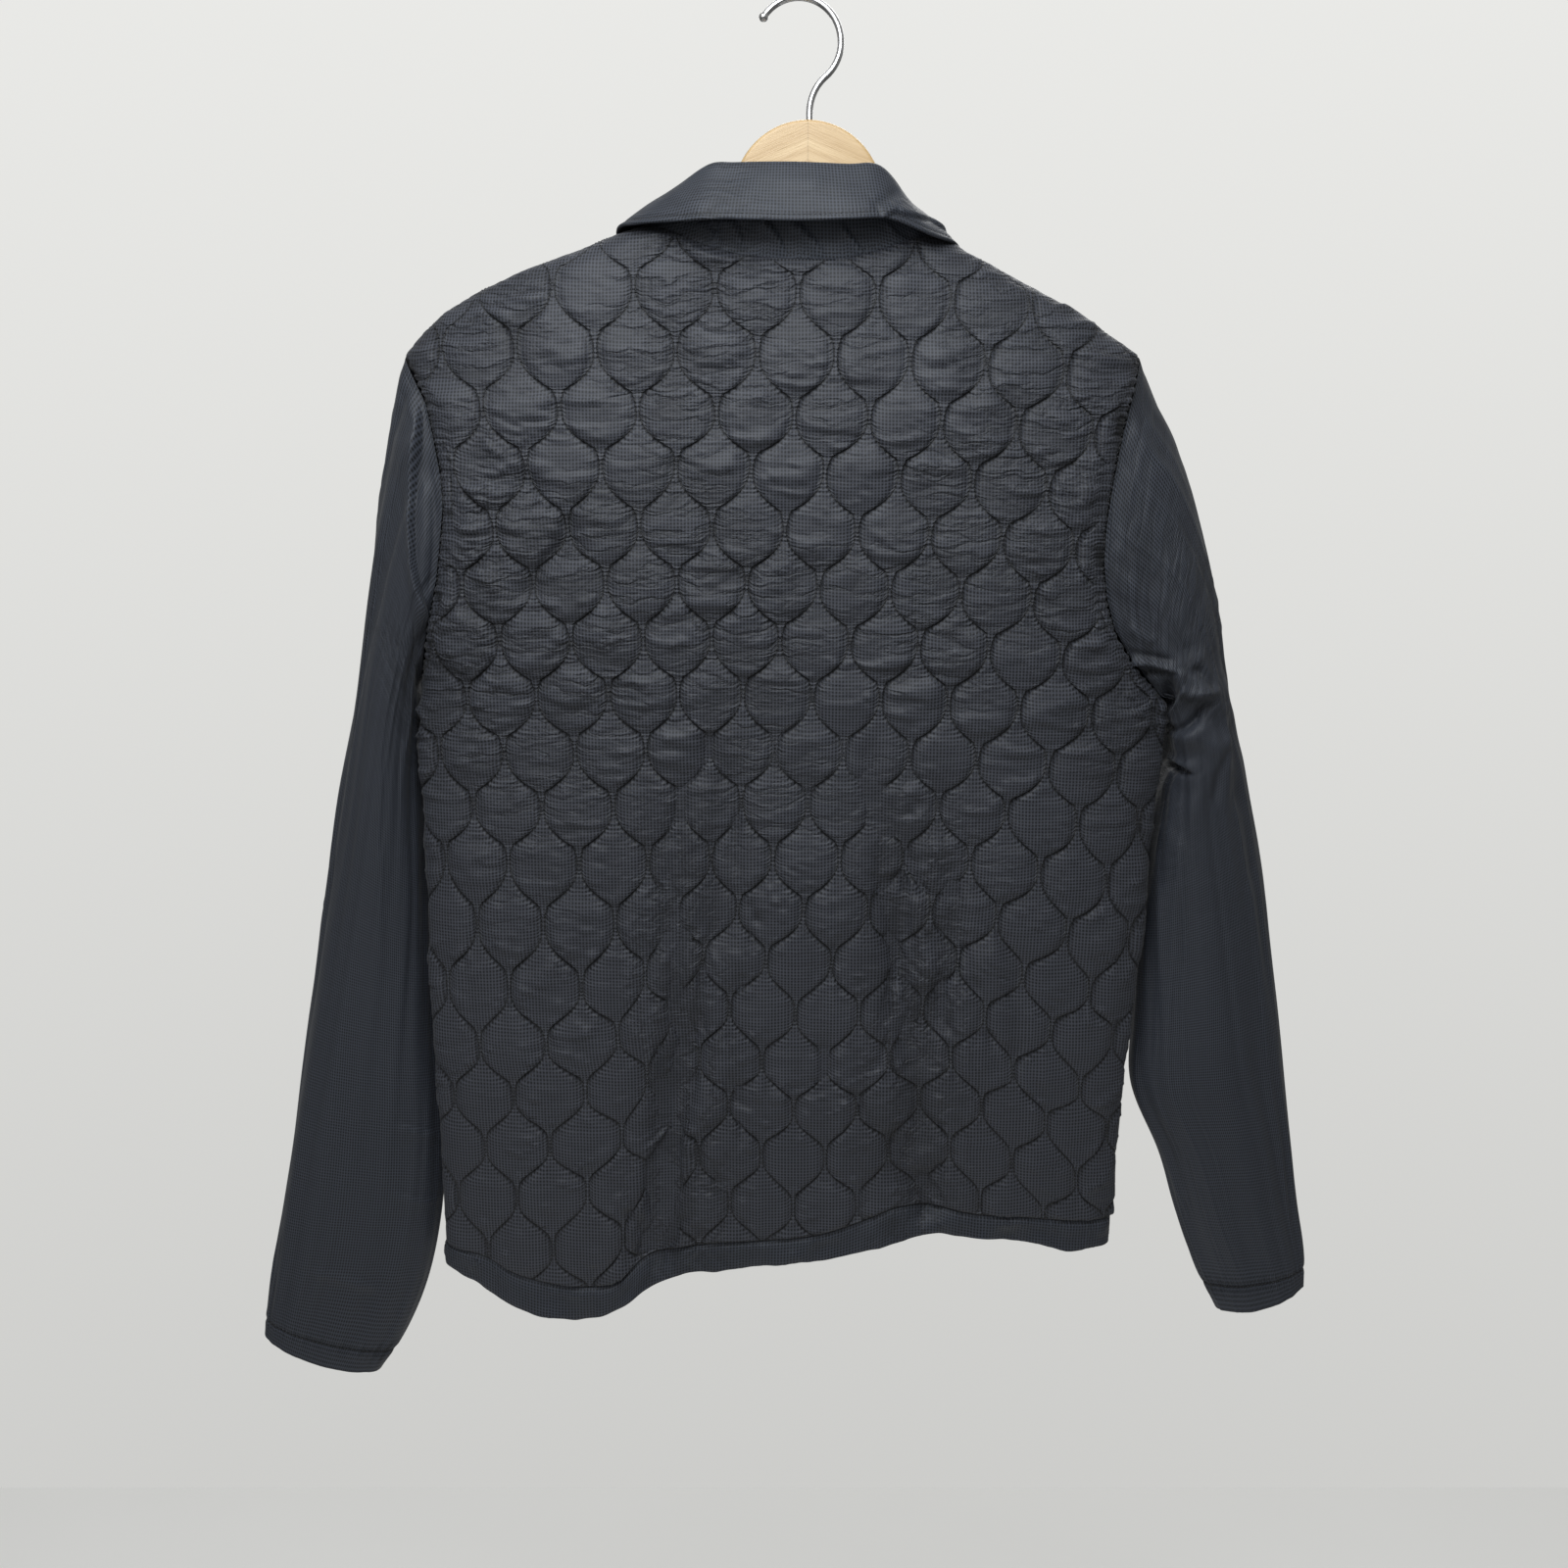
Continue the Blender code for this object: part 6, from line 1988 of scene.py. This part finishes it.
@dataclass
class Studio:
    """Floor, lights, world and camera.

    Attributes:
        camera: place, in metres.
        pitch: how far the camera looks down from the level, in degrees.
        lens: focal length and sensor width, in millimetres.
        lamps: the lights.
        floor: half its width, and its height, in metres.
        ambient: strength of the world's light from below and from above.
        backdrop: brightness of the world behind the object, from below and from above.
        tint: colour of the world and of the floor's glow.
    """

    camera: tuple[float, float, float] = (-0.008654, -0.981104, -0.319523)
    pitch: float = 8.5
    lens: tuple[float, float] = (36.0, 36.0)
    lamps: tuple[Lamp, ...] = (
        Lamp("key", (-0.10, -0.64, 0.34), (0.0, 0.0, -0.28), 0.65, 9.3, (0.93, 0.97, 1.0)),
        Lamp("fill", (-1.0, -2.0, 0.1), (0.0, 0.0, -0.38), 1.8, 7.5),
        Lamp("back", (0.3, 1.6, 1.0), (0.0, 0.0, -0.40), 1.4, 22.0))
    floor: tuple[float, float] = (1.25, -1.75)
    ambient: tuple[float, float] = (0.11, 0.42)
    backdrop: tuple[float, float] = (0.60, 0.82)
    tint: Colour = (1.0, 1.0, 0.975)

    def build(self) -> None:
        """Makes the camera, the lights, the world and the floor."""
        scene = bpy.context.scene
        data = bpy.data.cameras.new("camera")
        data.lens, data.sensor_width = self.lens
        data.clip_start = 0.01
        made = bpy.data.objects.new("camera", data)
        made.location = self.camera
        made.rotation_euler = (math.radians(90 - self.pitch), 0, 0)
        scene.collection.objects.link(made)
        scene.camera = made
        for lamp in self.lamps:
            lamp.build()
        scene.world = self.sky()
        scene.view_settings.view_transform = "Standard"
        mesh = bpy.data.meshes.new("floor")
        reach, z = self.floor
        mesh.from_pydata([(-reach, -reach, z), (reach, -reach, z), (reach, reach, z), (-reach, reach, z)],
                         [], [(0, 1, 2, 3)])
        g = Graph.of_slot("pale_floor")
        tone = g.mix(g.noise(g.place(), 3.0), (0.66, 0.66, 0.65), (0.70, 0.70, 0.69))
        mesh.materials.append(g.finish(Base_Color=tone, Roughness=0.8, Emission_Color=self.tint,
                                       Emission_Strength=0.2))
        floor = bpy.data.objects.new("floor", mesh)
        scene.collection.objects.link(floor)

    def sky(self) -> bpy.types.World:
        """Pale world that lights from above: a smooth step from the floor to the ceiling."""
        g = Graph(bpy.data.worlds.new("pale"), "Background")
        height = g.parts(g.node("TexCoord").outputs["Generated"])[2]
        mix = g.node("Mix", {"Factor": g.node("LightPath").outputs["Is Camera Ray"]})
        for socket, *span, levels in ((mix.inputs[2], -0.5, 1.0, self.ambient),
                                      (mix.inputs[3], -0.57, 0.31, self.backdrop)):
            g.feed(socket, g.ranged(height, *span, *levels))
        return g.finish(Color=self.tint, Strength=mix.outputs[0])


def main() -> None:
    """Builds the studio and every piece."""
    logging.basicConfig(level=logging.INFO, format="%(name)s %(message)s")
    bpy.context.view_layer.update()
    Studio().build()
    quilted = Ripstop("quilted_ripstop", (0.049, 0.053, 0.067), 1).make()
    plain = Ripstop("plain_ripstop", (0.041, 0.047, 0.062), 0, 0.4).make()
    # Lighter copy of the plain cloth for the stand: painted light where the fall shades it.
    stand_painted_light = Ripstop("plain_ripstop", (0.058, 0.067, 0.088), 0, 0.4).make()
    thread = Thread().make()
    wood = PaleWood().make()
    chrome = Metal("chrome_wire", (0.66, 0.66, 0.67), 0.08).make()
    snap_metal = Metal("dark_snap", (0.07, 0.072, 0.08), 0.3, 0.85).make()

    front = {"half": FRONT_HALF, "flat": (0.27, 0.64, 0.15), "fine": (12, 7)}
    back = QuiltedPanel("back_panel", BACK_HALF, (0.52, 0.66, 0.30), strokes=BACK_FOLDS, seed=5)
    left = QuiltedPanel("front_left", **front, right_x=LAP.centre + LAP.half, lapped=True, seed=6)
    right = QuiltedPanel("front_right", **front, left_x=LAP.centre - LAP.half, seed=7)
    for panel in (back, left, right):
        panel.build(quilted, thread)
    for name, panel, width in (("hem_band_back", back, 0.50), ("hem_band_front_left", left, 0.27),
                               ("hem_band_front_right", right, 0.26)):
        HemBand(name, panel, (width, 0.022)).build(plain)
    cut = (0.42, 0.64, 0.15)
    for sleeve in (Sleeve(Hand.LEFT, LEFT_SIDE, SLEEVE_LEFT, cut, strokes=LEFT_ARM_FOLDS),
                   Sleeve(Hand.RIGHT, RIGHT_SIDE, SLEEVE_RIGHT, cut, ARM_FOLDS, RIGHT_ARM_FOLDS, seed=75)):
        sleeve.build(plain, thread)
    collar = Collar()
    collar.stand(stand_painted_light, thread)
    collar.fall(plain, thread)
    for number, level in enumerate(SNAP_LEVELS, start=1):
        Snap(number, level).build(snap_metal)
    hanger = Hanger()
    hanger.board(wood)
    hanger.hook(chrome)


if __name__ == "__main__":
    main()
